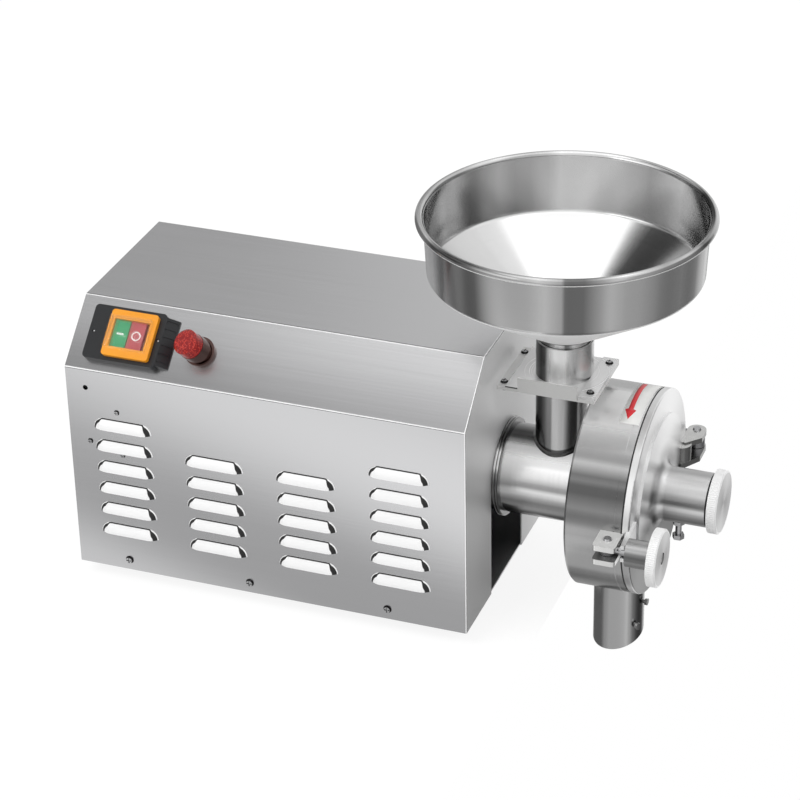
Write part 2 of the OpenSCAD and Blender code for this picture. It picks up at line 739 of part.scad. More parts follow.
// Round fillet from the cover's step to its boss
neck_fillet = 9;
module cover_shape() rotate_extrude($fn = 96) {
    difference() {
        union() {
            square([cover_r, cover_t - 1.5]);
            square([cover_r - 1.5, cover_t]);
            square([step_r, cover_t + step_t]);
            square([boss_r + neck_fillet, cover_t + step_t + neck_fillet]);
            square([boss_r, cover_t + boss_l]);
        }
        translate([boss_r + neck_fillet, cover_t + step_t + neck_fillet]) circle(r = neck_fillet, $fn = 48);
    }
    translate([cover_r - 1.5, cover_t - 1.5]) circle(r = 1.5, $fn = 24);
}

lug_tip = 4.5;
lug_t = 5;
module clamp_lug() difference() {
    translate([cover_face - lug_t / 2, 0, 0]) along_x(lug_t) difference() {
        polygon([
            [mill_y - cover_r + 16, mill_z + 15], [clamp_y - lug_tip, mill_z + 8.5],
            [clamp_y - lug_tip, mill_z - 8.5], [mill_y - cover_r + 16, mill_z - 15]
        ]);
        translate([clamp_y, mill_z]) circle(r = bolt_r + 0.6);
        translate([clamp_y - 20, mill_z - bolt_r - 0.6]) square([20, 2 * bolt_r + 1.2]);
    }
    translate([cover_face + lug_t / 2, clamp_y - lug_tip, mill_z]) rotate([0, 0, 45])
        cube([2.4, 2.4, 40], center = true);
}

module cover() color(steel) placed() difference() {
    union() {
        on_axis(cover_x) cover_shape();
        clamp_lug();
    }
    axis_ring(cover_x - over, boss_l + cover_t + 2 * over, carrier_r + run_fit);
    translate([lock_x, mill_y, mill_z - boss_r - over]) cylinder(h = boss_r, r = lock_r + run_fit);
}

module cover_gasket() color(rubber) placed() axis_ring(cover_x - gasket_t, gasket_t, drum_r - 0.6, drum_bore + 0.5);

module at_hinge() translate([hinge_x, hinge_y, 0]) children();

module hinge_lug() color(dark_steel) placed() difference() {
    translate([0, 0, mill_z - hinge_gap / 2 + 0.4]) linear_extrude(hinge_gap - 0.8) difference() {
        union() {
            polygon([
                [drum_end - 26, mill_y + drum_r - 6], [drum_end - 0.5, mill_y + drum_r - 6],
                [drum_end - 0.5, hinge_y - 5], [hinge_x, hinge_y - 5], [hinge_x, hinge_y + 8],
                [drum_end - 8, hinge_y + 8], [drum_end - 26, hinge_y - 2]
            ]);
            translate([hinge_x, hinge_y]) circle(r = 8);
        }
        translate([hinge_x, hinge_y]) circle(r = pin_r + run_fit);
    }
    axis_ring(drum_x, drum_l + 1, drum_r);
}

module hinge_plate(reach) linear_extrude(ear_t) difference() {
    union() {
        polygon([
            [cover_face, hinge_y - reach + 3], [cover_face + 5, hinge_y - reach],
            [hinge_x + 9, hinge_y - reach / 2], [hinge_x + 9, hinge_y], [hinge_x - 9, hinge_y],
            [cover_face, hinge_y - 8]
        ]);
        translate([hinge_x, hinge_y]) circle(r = 9);
    }
    translate([hinge_x, hinge_y]) circle(r = pin_r + run_fit);
}

module hinge_bracket() color(steel) placed() difference() {
    union() {
        translate([0, 0, mill_z + hinge_gap / 2]) hinge_plate(29);
        translate([0, 0, mill_z - hinge_gap / 2 - ear_t]) hinge_plate(41);
        translate([0, 0, mill_z - hinge_gap / 2 - over / 2]) intersection() {
            translate([cover_face + 1, hinge_y - 28, 0]) cylinder(h = hinge_gap + ear_t - 1, r = 10);
            translate([cover_face, hinge_y - 60, 0]) cube([40, 60, hinge_gap + ear_t]);
        }
    }
    axis_ring(cover_face - over, step_t + over + seat_gap, step_r + seat_gap);
}

// A headed pin standing through a pair of bracket plates
module cross_pin(x, y, gap) translate([x, y, mill_z]) {
    translate([0, 0, -gap / 2 - ear_t - 3]) cylinder(h = gap + 2 * ear_t + 4, r = pin_r);
    translate([0, 0, gap / 2 + ear_t + seat_gap]) cylinder(h = 1.8, r1 = pin_r + 1.2, r2 = pin_r + 0.4);
    translate([0, 0, -gap / 2 - ear_t - 2.4]) cylinder(h = 1.2, r = pin_r + 1.2);
}

module cross_pins() color(steel) placed() {
    cross_pin(hinge_x, hinge_y, hinge_gap);
    cross_pin(clamp_pin_x, clamp_y, clamp_gap);
}

clamp_low = mill_z - clamp_gap / 2;
clamp_plate_l = 21.5;
clamp_plate_x = clamp_pin_x - clamp_plate_l / 2;
module clamp_plate() linear_extrude(ear_t) difference() {
    polygon(rounded([
        [clamp_plate_x, clamp_y - 14], [clamp_plate_x, mill_y - drum_r + 8],
        [clamp_plate_x + clamp_plate_l, mill_y - drum_r + 8], [clamp_plate_x + clamp_plate_l, clamp_y - 14]
    ], 3));
    translate([clamp_pin_x, clamp_y]) circle(r = pin_r + run_fit);
}

module clamp_bracket() color(steel) placed() difference() {
    union() {
        translate([0, 0, clamp_low + clamp_gap]) clamp_plate();
        translate([0, 0, clamp_low - ear_t]) clamp_plate();
        translate([clamp_plate_x, clamp_y + 7.6, clamp_low - 0.5]) cube([clamp_plate_l, 12, clamp_gap + 1]);
    }
    axis_ring(drum_x, drum_l, drum_r);
    axis_ring(drum_end - seat_gap, 10, cover_r + 0.5);
}

clamp_hub_x = cover_face + lug_t / 2 + 0.5;
clamp_hub_l = 23.5;
clamp_hub_r = 13;
clamp_disc_x = clamp_hub_x + clamp_hub_l;
eye_r = 6.6;
module swing_bolt() color(dark_steel) placed() difference() {
    union() {
        translate([clamp_pin_x, clamp_y, clamp_low + 0.4]) cylinder(h = clamp_gap - 0.8, r = eye_r);
        translate([clamp_pin_x, clamp_y, mill_z]) rotate([0, 90, 0])
            cylinder(h = clamp_disc_x + 4 - clamp_pin_x, r = bolt_r);
    }
    translate([clamp_pin_x, clamp_y, mill_z]) cylinder(h = 2 * clamp_gap, r = pin_r + run_fit, center = true);
    translate([clamp_pin_x - 2 * eye_r, clamp_y - pin_r - 0.1, mill_z - clamp_gap])
        cube([2 * eye_r, 2 * pin_r + 1.9, 2 * clamp_gap]);
}

// A knob's disc with a finely grooved rim, its back on the plane z = 0
module knob_disc(r, t, grooves) difference() {
    intersection() {
        linear_extrude(t) difference() {
            circle(r = r, $fn = 96);
            for (k = [0 : grooves - 1]) rotate([0, 0, 360 * k / grooves]) translate([r + 0.15, 0])
                circle(r = 0.55, $fn = 8);
        }
        union() {
            cylinder(h = t - 1.2, r = r + over);
            translate([0, 0, t - 1.2]) cylinder(h = 1.2, r1 = r, r2 = r - 1.2);
        }
    }
}

module clamp_knob() color(steel) placed() difference() {
    union() {
        translate([clamp_hub_x, clamp_y, mill_z]) rotate([0, 90, 0]) cylinder(h = clamp_hub_l + over, r = clamp_hub_r);
        translate([clamp_disc_x, clamp_y, mill_z]) rotate([0, 90, 0])
            knob_disc(clamp_knob_r, clamp_knob_t, 84);
    }
    translate([clamp_hub_x - over, clamp_y, mill_z]) rotate([0, 90, 0])
        cylinder(h = clamp_hub_l + over + 4.5, r = bolt_r + run_fit);
    translate([clamp_disc_x + clamp_knob_t - 0.8, clamp_y, mill_z]) rotate([0, 90, 0]) cylinder(h = 3, r = 5.5);
}

module boss_cap() color(dark_steel) placed() axis_ring(boss_end - cap_t, cap_t, carrier_r, stem_r + run_fit);

module boss_seal() color(black) placed() axis_ring(boss_end + seat_gap, boss_seal_t, boss_seal_r, stem_r + 0.3);

module adjust_knob() color(steel) placed() on_axis(knob_x) knob_disc(knob_r, knob_t, 96);

module adjust_screw() color(steel) placed() {
    axis_ring(carrier_end - 22, knob_x - carrier_end + 22, stem_r);
    axis_ring(boss_end - cap_t - stem_ring_t - seat_gap, stem_ring_t, 13);
}

module lock_bolt() color(dark_steel) placed() translate([lock_x, mill_y, mill_z]) {
    translate([0, 0, -boss_r - 17]) cylinder(h = boss_r + 17 - carrier_r + key_depth - 0.4, r = lock_r);
    translate([0, 0, -boss_r - 21]) hexagon(10, 4.5);
    translate([0, 0, -boss_r - 5.4]) hexagon(10, 5, lock_r + run_fit);
}

module at_inlet(z) translate([inlet_x, mill_y, z]) children();

module at_collar(z) translate([collar_x, mill_y, z]) children();

// One plate of the gate, its left edge drawn in by some millimetres
module gate_plate(z, t, inset = 0) translate([gate_x - gate_w / 2 + inset, gate_y - gate_d / 2, z])
    cube([gate_w - inset, gate_d, t]);

top_inset = 8;
strip_w = 15;
gate_screw_y = gate_d / 2 - 10;
left_screw_x = gate_x - gate_w / 2 + 4;
right_screw_x = gate_x + gate_w / 2 - 6.5;
module at_gate_screws(x, z) for (side = [-1, 1]) translate([x, gate_y + side * gate_screw_y, z]) children();

module gate_holes() for (x = [left_screw_x, right_screw_x])
    at_gate_screws(x, gate_base_z) cylinder(h = 60, r = 2.1, center = true);

module gate_base() color(steel) placed() difference() {
    gate_plate(gate_base_z, gate_t);
    at_inlet(gate_base_z - over) cylinder(h = gate_t + 2 * over, r = inlet_r - tube_wall);
    gate_holes();
}

module gate_rails() color(steel) placed() difference() {
    gate_plate(gate_base_z + gate_t, rail_t);
    translate([slide_x - slide_w / 2 - 0.2, gate_y - gate_d / 2 - over, gate_base_z + gate_t - over])
        cube([slide_w + 0.4, gate_d - 6 + over, rail_t + 2 * over]);
    gate_holes();
}

module hopper_collar() color(steel) placed() difference() {
    union() {
        gate_plate(gate_top_z, gate_t, top_inset);
        gate_plate(collar_z - seat_gap, gate_t + seat_gap, gate_w - strip_w);
        at_collar(gate_top_z) cylinder(h = gate_t + collar_h, r = collar_r);
    }
    at_collar(collar_z) cylinder(h = collar_h + over, r = collar_r - tube_wall);
    at_collar(gate_top_z - over) cylinder(h = gate_t + 2 * over, r = neck_r - 4);
    gate_holes();
}

module gate_slide() color(steel) placed() translate([slide_x - slide_w / 2, lip_y, gate_base_z + gate_t + 0.15]) {
    cube([slide_w, slide_back - lip_y, slide_t]);
    cube([slide_w, slide_t, lip_h]);
}

// A screw through a stack of plates of a given thickness, with its nut below
module stack_screw(stack) {
    pan_screw(3.8, 2, 2, stack + 5);
    translate([0, 0, -stack - 3.6]) hexagon(7, 3.5, 2 + run_fit);
}

// Outline of the hopper's sheet, drawn in by t
cone_a = atan2(cone_h, pan_r - neck_r);
function pan_corners(t) = [
    [neck_r - t, neck_z],
    [neck_r - t, cone_z + t * (1 - sin(cone_a)) / cos(cone_a)],
    [pan_r - t, pan_z + t * (1 - sin(cone_a)) / cos(cone_a)],
    [pan_r + wall_flare - t, rim_z]
];
function pan_side(t) = let (c = pan_corners(t))
    concat([c[0], c[1]], corner_arc(c[1], c[2], c[3], pan_fillet - t), [c[3]]);

module hopper() color(steel) placed() at_collar(0) rotate_extrude($fn = 128) {
    inner = pan_side(pan_t);
    polygon(concat(pan_side(0), [for (i = [len(inner) - 1 : -1 : 0]) inner[i]]));
    translate([pan_r + wall_flare - pan_t / 2 + rim_r, rim_z]) circle(r = rim_r, $fn = 32);
}

module button_pair_gap(side) translate([side * (button_w / 2 + 0.4), 0, 0]) children();

module round_plate(w, h, r) polygon(rounded([[-w / 2, -h / 2], [w / 2, -h / 2], [w / 2, h / 2], [-w / 2, h / 2]], r));

// The base's flank slopes down to its right edge and has shallow grooves
flank_l = 11;
flank_t = 1.5;
flank_grooves = 6;
flank_h = switch_h - 6;
function flank_top(d) = switch_t + (flank_t - switch_t) * d / flank_l;
module flank_slice(y, w, pts) translate([switch_w / 2, y + w, 0]) rotate([90, 0, 0]) linear_extrude(w) polygon(pts);

module switch_base() color(black) placed() on_slope(switch_mid_x, switch_mid_s) difference() {
    union() {
        linear_extrude(switch_t) round_plate(switch_w, switch_h, 4);
        flank_slice(-flank_h / 2, flank_h, [[-2, 0], [flank_l, 0], [flank_l, flank_t], [0, switch_t], [-2, switch_t]]);
        translate([button_x - switch_mid_x - body_w / 2, -body_h / 2, -30]) cube([body_w, body_h, 31]);
    }
    for (k = [0 : flank_grooves - 1])
        flank_slice((k + 0.5 - flank_grooves / 2) * flank_h / flank_grooves - 1.2, 2.4, [
            [1, flank_top(1) - 0.9], [flank_l - 1, flank_top(flank_l - 1) - 0.9],
            [flank_l - 1, switch_t + over], [1, switch_t + over]
        ]);
    translate([flap_x - switch_mid_x - frame_w / 2 + 4, -frame_h / 2 + 4, 3]) cube([frame_w - 8, frame_h - 8, switch_t]);
    for (x = [5 - switch_w / 2, switch_w / 2 - 3]) translate([x, 0, 2]) cylinder(h = switch_t, r = 1.5);
}

// The flap's frame, its window as wide as the buttons and a gap on their right
window_l = button_x - button_w - 1;
window_r = button_x + button_w + 4.5;
module switch_frame() color(orange) placed() on_slope(flap_x, switch_mid_s) translate([0, 0, switch_t])
    linear_extrude(frame_t) difference() {
        round_plate(frame_w, frame_h, 3);
        translate([window_l - flap_x, -button_h / 2 - 0.3]) square([window_r - window_l, button_h + 0.6]);
    }

module push_button(side) on_slope(button_x, switch_mid_s) button_pair_gap(side)
    translate([-button_w / 2, -button_h / 2, 3 + button_travel + 0.5]) cube([button_w, button_h, switch_t - 3]);

module green_button() color(green) placed() push_button(-1);

module red_button() color(red) placed() push_button(1);

clear_t = 1;
clear_w = window_r - window_l + 6;
clear_h = button_h + 5;
module switch_cover() color("white", 0.35) placed() on_slope((window_l + window_r) / 2, switch_mid_s)
    translate([0, 0, switch_t + frame_t]) difference() {
        translate([-clear_w / 2, -clear_h / 2, 0]) cube([clear_w, clear_h, 6]);
        translate([clear_t - clear_w / 2, clear_t - clear_h / 2, -over])
            cube([clear_w - 2 * clear_t, clear_h - 2 * clear_t, 6 - clear_t + over]);
    }

module lamp_bezel() color(dark_steel) placed() on_slope(lamp_x, lamp_s) {
    cylinder(h = 4, r = lamp_r + 2);
    translate([0, 0, -24]) cylinder(h = 32.5, r = lamp_neck_r);
    rotate([0, -lamp_tilt, 0]) translate([0, 0, 4.2]) cylinder(h = lamp_body_l - 4.2, r = lamp_r + 0.4);
}

module lamp_lens() color(red) placed() on_slope(lamp_x, lamp_s) rotate([0, -lamp_tilt, 0])
    translate([0, 0, lamp_body_l]) {
    cylinder(h = lamp_lens_l - 3, r = lamp_r);
    translate([0, 0, lamp_lens_l - 3]) cylinder(h = 3, r1 = lamp_r, r2 = lamp_r - 3);
}

casing_wrap();
front_panel();
end_panels();
base_tray();
pan_screws();
rubber_feet();
base_bolts();
motor_frame();
motor_feet();
stator_core();
windings();
drive_end_shield();
fan_end_shield();
bearings();
rotor_core();
main_shaft();
cooling_fan();
fan_cowl();
start_capacitor();
cable_gland();
barrel();
barrel_plates();
inlet_tube();
barrel_ring();
shaft_seal();
auger();
auger_flights();
drum();
drum_back();
spout();
moving_disc();
disc_nut();
fixed_disc();
disc_carrier();
disc_screws();
cover();
cover_gasket();
hinge_lug();
hinge_bracket();
cross_pins();
clamp_bracket();
swing_bolt();
clamp_knob();
boss_cap();
boss_seal();
adjust_knob();
adjust_screw();
lock_bolt();
gate_base();
gate_rails();
hopper_collar();
gate_slide();
hopper();
switch_base();
switch_frame();
green_button();
red_button();
switch_cover();
lamp_bezel();
lamp_lens();
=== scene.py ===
"""The looks of the flour mill: metals, plastics, label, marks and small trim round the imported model."""
import math

import bmesh
import bpy
from mathutils import Matrix, Vector


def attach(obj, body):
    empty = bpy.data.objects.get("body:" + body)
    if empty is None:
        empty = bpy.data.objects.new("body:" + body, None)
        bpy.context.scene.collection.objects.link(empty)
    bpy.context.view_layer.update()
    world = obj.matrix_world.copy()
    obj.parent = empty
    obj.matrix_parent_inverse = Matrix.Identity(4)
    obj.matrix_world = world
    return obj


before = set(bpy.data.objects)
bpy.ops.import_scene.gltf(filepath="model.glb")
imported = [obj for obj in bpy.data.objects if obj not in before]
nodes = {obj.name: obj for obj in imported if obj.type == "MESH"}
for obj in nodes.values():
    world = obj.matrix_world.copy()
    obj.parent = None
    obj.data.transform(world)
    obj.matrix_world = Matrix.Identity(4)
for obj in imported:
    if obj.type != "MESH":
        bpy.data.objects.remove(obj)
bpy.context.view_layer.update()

# The casing's own coordinates in millimetres, as in the part's source, and their place in the row frame
MID_X = 306.0
MID_Y = 117.25
MILL_Y = 118.0
MILL_Z = 117.4
SPOUT_DROP = 54.0
CASING_L = 400.0
CASING_H = 267.0
FRONT_H = 217.0
SLOPE_BACK = 55.0
DRUM_R = 97.5


def at(x, y, z):
    """A point in the casing's millimetres, in the row frame in metres."""
    return Vector((x - MID_X, y - MID_Y, z + SPOUT_DROP)) / 1000


# A point on each turned part's axis, and the casing's lower front left corner
MILL_AXIS = at(0, MILL_Y, MILL_Z)
INLET_AXIS = at(454.2, MILL_Y, 0)
COLLAR_AXIS = at(456.5, MILL_Y, 0)
SPOUT_AXIS = at(513.8, MILL_Y, 0)
CLAMP_AXIS = at(0, 7, MILL_Z)
CORNER = at(0, 0, 0)


# Node trees

def add(tree, kind, inputs=None, **settings):
    """A new node. An input is a value or another node's output socket."""
    made = tree.nodes.new(kind)
    for name, value in settings.items():
        setattr(made, name, value)
    for name, value in (inputs or {}).items():
        socket = made.inputs[name]
        if isinstance(value, bpy.types.NodeSocket):
            tree.links.new(value, socket)
        else:
            socket.default_value = value
    return made


def sums(tree, operation, *values):
    """The output of a math node."""
    return add(tree, "ShaderNodeMath", dict(enumerate(values)), operation=operation).outputs[0]


def ramp_up(tree, value, low, high):
    """0 below low, 1 above high, smooth between."""
    made = add(tree, "ShaderNodeMapRange", {"Value": value, "From Min": low, "From Max": high},
               interpolation_type="SMOOTHSTEP")
    return made.outputs["Result"]


def blend_number(tree, factor, a, b):
    """a where the factor is 0 and b where it is 1. A mix node's inputs 2 and 3 are its pair of numbers."""
    return add(tree, "ShaderNodeMix", {0: factor, 2: a, 3: b}, data_type="FLOAT").outputs[0]


def colour_blend(tree, factor, a, b, kind="MIX"):
    """A mix of two colours. A mix node's inputs 6 and 7 are its pair of colours, and output 2 the mix."""
    a, b = [value if isinstance(value, bpy.types.NodeSocket) else (*value[:3], 1) for value in (a, b)]
    return add(tree, "ShaderNodeMix", {0: factor, 6: a, 7: b}, data_type="RGBA", blend_type=kind).outputs[2]


def noise(tree, vector, scale, detail=3.0):
    made = add(tree, "ShaderNodeTexNoise", {"Vector": vector, "Scale": scale, "Detail": detail,
                                            "Roughness": 0.55})
    return made.outputs["Fac"]


def grey(tree, tone):
    """The grey of a given brightness."""
    return add(tree, "ShaderNodeCombineColor", {0: tone, 1: tone, 2: tone}).outputs[0]


def stretched(tree, vector, factors):
    return add(tree, "ShaderNodeVectorMath", {0: vector, 1: factors}, operation="MULTIPLY").outputs[0]


def minus(tree, vector, other):
    return add(tree, "ShaderNodeVectorMath", {0: vector, 1: other}, operation="SUBTRACT").outputs[0]


def length(tree, vector):
    return add(tree, "ShaderNodeVectorMath", {0: vector}, operation="LENGTH").outputs["Value"]


def dot(tree, a, b):
    return add(tree, "ShaderNodeVectorMath", {0: a, 1: b}, operation="DOT_PRODUCT").outputs["Value"]


def axis_of(tree, vector, axis):
    """One coordinate of a vector."""
    return add(tree, "ShaderNodeSeparateXYZ", {"Vector": vector}).outputs["XYZ".index(axis)]


def between(tree, value, low, high, rise, fall):
    """1 from low to high, and 0 from rise below and fall above."""
    entered = ramp_up(tree, value, low - rise, low)
    return sums(tree, "MULTIPLY", entered, ramp_up(tree, value, high + fall, high))


# The studio: what polished metal sees in each direction. Azimuth 0 is the mill's front, 90 its
# right; elevation is above the floor. Each patch is a lamp, a dark flag or a paler wall, and has no
# edge where its limit is a full turn or a full rise.

BASE_GLOW = 0.82
FULL_TURN = 400
FULL_RISE = 95
PATCHES = [
    # azimuth from, to, elevation from, to, brightness, softness of the azimuth and elevation edges
    (-FULL_TURN, FULL_TURN, -FULL_RISE, -16, 0.46, 1, 8),
    (-62, 60, -42, -24, 0.72, 6, 5),
    (-62, 60, -16, 38, 0.80, 6, 4),
    (-62, -18.6, 6, 38, 1.4, 1.2, 4),
    (-140, -62, -FULL_RISE, 30, 0.15, 10, 8),
    (-FULL_TURN, -140, -10, 40, 0.38, 8, 10),
    (-FULL_TURN, -158, -10, 40, 0.66, 1.6, 10),
    (-62, 60, -75, -46, 0.32, 8, 5),
    (60, 150, -FULL_RISE, 30, 0.36, 10, 10),
    (104, 146, -FULL_RISE, 30, 0.22, 8, 10),
    (150, FULL_TURN, -FULL_RISE, 34, 1.0, 8, 10),
    (-62, -37, 44, 64, 0.58, 4, 3),
    (-124, -94, 36, 66, 0.08, 1.5, 2),
    (116, 160, 34, 61, 0.85, 2, 4),
    (139.6, 142.2, 46, 61, 0.35, 0.8, 2),
    (-FULL_TURN, FULL_TURN, 64, FULL_RISE, 1.4, 1, 3),
    (-FULL_TURN, FULL_TURN, 76, FULL_RISE, 1.1, 1, 3),
]


def studio_glow(tree, direction):
    """Brightness of the studio in a direction given as a unit vector's socket."""
    x, y, z = add(tree, "ShaderNodeSeparateXYZ", {"Vector": direction}).outputs
    turn = sums(tree, "MULTIPLY", sums(tree, "ARCTAN2", x, sums(tree, "MULTIPLY", y, -1.0)), 180 / math.pi)
    rise = sums(tree, "MULTIPLY", sums(tree, "ARCSINE", z), 180 / math.pi)
    glow = BASE_GLOW
    for az_from, az_to, el_from, el_to, level, az_soft, el_soft in PATCHES:
        mask = None
        for value, low, high, soft in ((turn, az_from, az_to, az_soft), (rise, el_from, el_to, el_soft)):
            for edge, rising in ((low, True), (high, False)):
                if abs(edge) in (FULL_TURN, FULL_RISE):
                    continue
                part = ramp_up(tree, value, edge - soft, edge + soft)
                if not rising:
                    part = sums(tree, "SUBTRACT", 1.0, part)
                mask = part if mask is None else sums(tree, "MULTIPLY", mask, part)
        glow = blend_number(tree, mask, glow, level)
    return glow


# Strength of the even sky that matt surfaces see
FILL = 0.62


def make_world():
    """The white room, which each kind of ray sees differently."""
    world = bpy.data.worlds.new("studio")
    bpy.context.scene.world = world
    world.use_nodes = True
    tree = world.node_tree
    tree.nodes.clear()
    coords = add(tree, "ShaderNodeTexCoord")
    glow = studio_glow(tree, coords.outputs["Generated"])
    rays = add(tree, "ShaderNodeLightPath")
    # Matt surfaces see an even sky, glossy ones the studio, the camera and glass plain white
    level = blend_number(tree, rays.outputs["Is Glossy Ray"], FILL, glow)
    clear = sums(tree, "MAXIMUM", rays.outputs["Is Camera Ray"], rays.outputs["Is Transmission Ray"])
    level = blend_number(tree, clear, level, 1.0)
    light = add(tree, "ShaderNodeBackground", {"Color": (1, 1, 1, 1), "Strength": level})
    out = add(tree, "ShaderNodeOutputWorld")
    tree.links.new(light.outputs[0], out.inputs[0])


# Where the floor is seen from, for the studio's brightness that metal sees in it
STUDIO_MIDDLE = (0.1, 0.0, 0.25)
# The front sees the floor change with the distance from it, measured in metres along this direction.
# Each step is where the change starts and ends, and the brightness after it.
FLOOR_SLANT = (0.35, -1.0, 0.0)
FLOOR_START = 0.76
FLOOR_STEPS = [
    (0.02, 0.12, 0.45),
    (0.19, 0.345, 0.98),
    (0.42, 0.60, 0.55),
]
# How far behind the casing's front the floor starts to count as in front of it, and counts in full
FLOOR_FRONT = (0.06, -0.01)
FLOOR_COLOUR = (0.95, 0.95, 0.95, 1)
# Strength of the bench's own white to the camera, a little over 1 so that only deep shadow greys it,
# and its share beside the matt floor that takes the shadows
BENCH_WHITE = 1.08
BENCH_SHARE = 0.8


def make_floor_material():
    """White floor that keeps the shadows. Metal sees the studio's brightness in it."""
    material = bpy.data.materials.new("pale_floor")
    material.use_nodes = True
    tree = material.node_tree
    tree.nodes.clear()
    place = add(tree, "ShaderNodeNewGeometry").outputs["Position"]
    away = minus(tree, place, STUDIO_MIDDLE)
    unit = add(tree, "ShaderNodeVectorMath", {0: away}, operation="NORMALIZE").outputs[0]
    ahead = FLOOR_START
    from_corner = minus(tree, place, CORNER)
    reach = dot(tree, from_corner, FLOOR_SLANT)
    for near, far, level in FLOOR_STEPS:
        ahead = blend_number(tree, ramp_up(tree, reach, near, far), ahead, level)
    in_front = ramp_up(tree, axis_of(tree, from_corner, "Y"), *FLOOR_FRONT)
    glow = blend_number(tree, in_front, studio_glow(tree, unit), ahead)
    matt = add(tree, "ShaderNodeBsdfDiffuse", {"Color": FLOOR_COLOUR}).outputs[0]
    shine = add(tree, "ShaderNodeEmission", {"Color": (1, 1, 1, 1), "Strength": glow}).outputs[0]
    white = add(tree, "ShaderNodeEmission", {"Color": (1, 1, 1, 1), "Strength": BENCH_WHITE}).outputs[0]
    rays = add(tree, "ShaderNodeLightPath").outputs
    seen = add(tree, "ShaderNodeMixShader", {0: BENCH_SHARE, 1: matt, 2: white}).outputs[0]
    camera = add(tree, "ShaderNodeMixShader", {0: rays["Is Camera Ray"], 1: matt, 2: seen}).outputs[0]
    mixed = add(tree, "ShaderNodeMixShader", {0: rays["Is Glossy Ray"], 1: camera, 2: shine}).outputs[0]
    out = add(tree, "ShaderNodeOutputMaterial")
    tree.links.new(mixed, out.inputs[0])
    return material


# The bench's top lies under the feet, and its edge is short of the spout
BENCH_TOP = 0.038
BENCH_EDGE = 0.150
BENCH_REACH = 3.0


def make_stage():
    """A white bench that ends short of the spout, in a white room."""
    mesh = bpy.data.meshes.new("bench")
    corners = [(-BENCH_REACH, -BENCH_REACH, BENCH_TOP), (BENCH_EDGE, -BENCH_REACH, BENCH_TOP),
               (BENCH_EDGE, BENCH_REACH, BENCH_TOP), (-BENCH_REACH, BENCH_REACH, BENCH_TOP)]
    mesh.from_pydata(corners, [], [(0, 1, 2, 3)])
    mesh.materials.append(make_floor_material())
    bench = bpy.data.objects.new("bench", mesh)
    bpy.context.scene.collection.objects.link(bench)


def make_lamp(name, place, target, size, power):
    """A rectangular lamp for matt surfaces. Polished ones see the studio instead."""
    data = bpy.data.lights.new(name, "AREA")
    data.shape = "RECTANGLE"
    data.size, data.size_y = size
    data.energy = power
    lamp = bpy.data.objects.new(name, data)
    bpy.context.scene.collection.objects.link(lamp)
    lamp.location = place
    lamp.visible_glossy = False
    lamp.rotation_euler = (Vector(target) - Vector(place)).to_track_quat("-Z", "Y").to_euler()


def make_camera():
    """The photograph's view: 21 degrees round to the right, 29 above, a long lens."""
    turn, rise, roll = math.radians(21.0), math.radians(29.4), math.radians(-1.2)
    distance, focal_pixels, frame_pixels = 2.6441, 2796.8, 800
    target = at(299.7, 100.0, 180.1)
    back = Vector((math.sin(turn) * math.cos(rise), -math.cos(turn) * math.cos(rise), math.sin(rise)))
    level = Vector((math.cos(turn), math.sin(turn), 0.0))
    upright = back.cross(level)
    right = level * math.cos(roll) + upright * math.sin(roll)
    up = upright * math.cos(roll) - level * math.sin(roll)
    data = bpy.data.cameras.new("camera")
    data.sensor_width = 36.0
    data.lens = focal_pixels / frame_pixels * data.sensor_width
    data.clip_end = 50.0
    camera = bpy.data.objects.new("camera", data)
    bpy.context.scene.collection.objects.link(camera)
    facing = Matrix((right, up, back)).transposed().to_4x4()
    camera.matrix_world = Matrix.Translation(target + back * distance) @ facing
    bpy.context.scene.camera = camera


make_camera()
make_world()
make_stage()
make_lamp("key", place=(-0.9, -1.6, 2.2), target=(0.0, 0.0, 0.2), size=(1.4, 1.0), power=26)
make_lamp("side", place=(2.0, -0.6, 1.6), target=(0.1, 0.0, 0.2), size=(1.0, 1.0), power=14)
bpy.context.scene.view_settings.view_transform = "Standard"


# Materials

STEEL = (0.74, 0.74, 0.75)
PALE = (0.93, 0.93, 0.93)
WHITE = (1.0, 1.0, 1.0)
# Height in metres of a fine grain's bump and of a coarser one
GRAIN_DEPTH = 0.0002
COARSE_DEPTH = 0.0003
# Share of broad clouding in a metal's fine streaks
CLOUDS = 0.25
PLASTIC_IOR = 1.45


def new_material(name):
    """A new material, its node tree and its shader."""
    material = bpy.data.materials.new(name)
    material.use_nodes = True
    tree = material.node_tree
    tree.nodes.clear()
    out = add(tree, "ShaderNodeOutputMaterial")
    shader = add(tree, "ShaderNodeBsdfPrincipled")
    tree.links.new(shader.outputs[0], out.inputs[0])
    return material, tree, shader


def parts_of(material):
    """The node tree and the shader of a material made here."""
    tree = material.node_tree
    return tree, next(node for node in tree.nodes if node.type == "BSDF_PRINCIPLED")


def feed(tree, shader, name, value):
    """Links or sets one of the shader's inputs."""
    socket = shader.inputs[name]
    if isinstance(value, bpy.types.NodeSocket):
        tree.links.new(value, socket)
    else:
        socket.default_value = value


def fed(shader, name):
    """What an input is fed: its link's socket, or else its value."""
    socket = shader.inputs[name]
    return socket.links[0].from_socket if socket.links else socket.default_value


def row_place(tree):
    """Place in the row frame. Each CAD node's object sits at the origin, so its coordinates are that."""
    return add(tree, "ShaderNodeTexCoord").outputs["Object"]


def normal_part(tree, axis):
    """How far the surface faces along an axis, from -1 to 1."""
    return axis_of(tree, add(tree, "ShaderNodeNewGeometry").outputs["Normal"], axis)


def facing_either_way(tree, axis):
    """How far the surface faces along an axis or against it, from 0 to 1."""
    return sums(tree, "ABSOLUTE", normal_part(tree, axis))


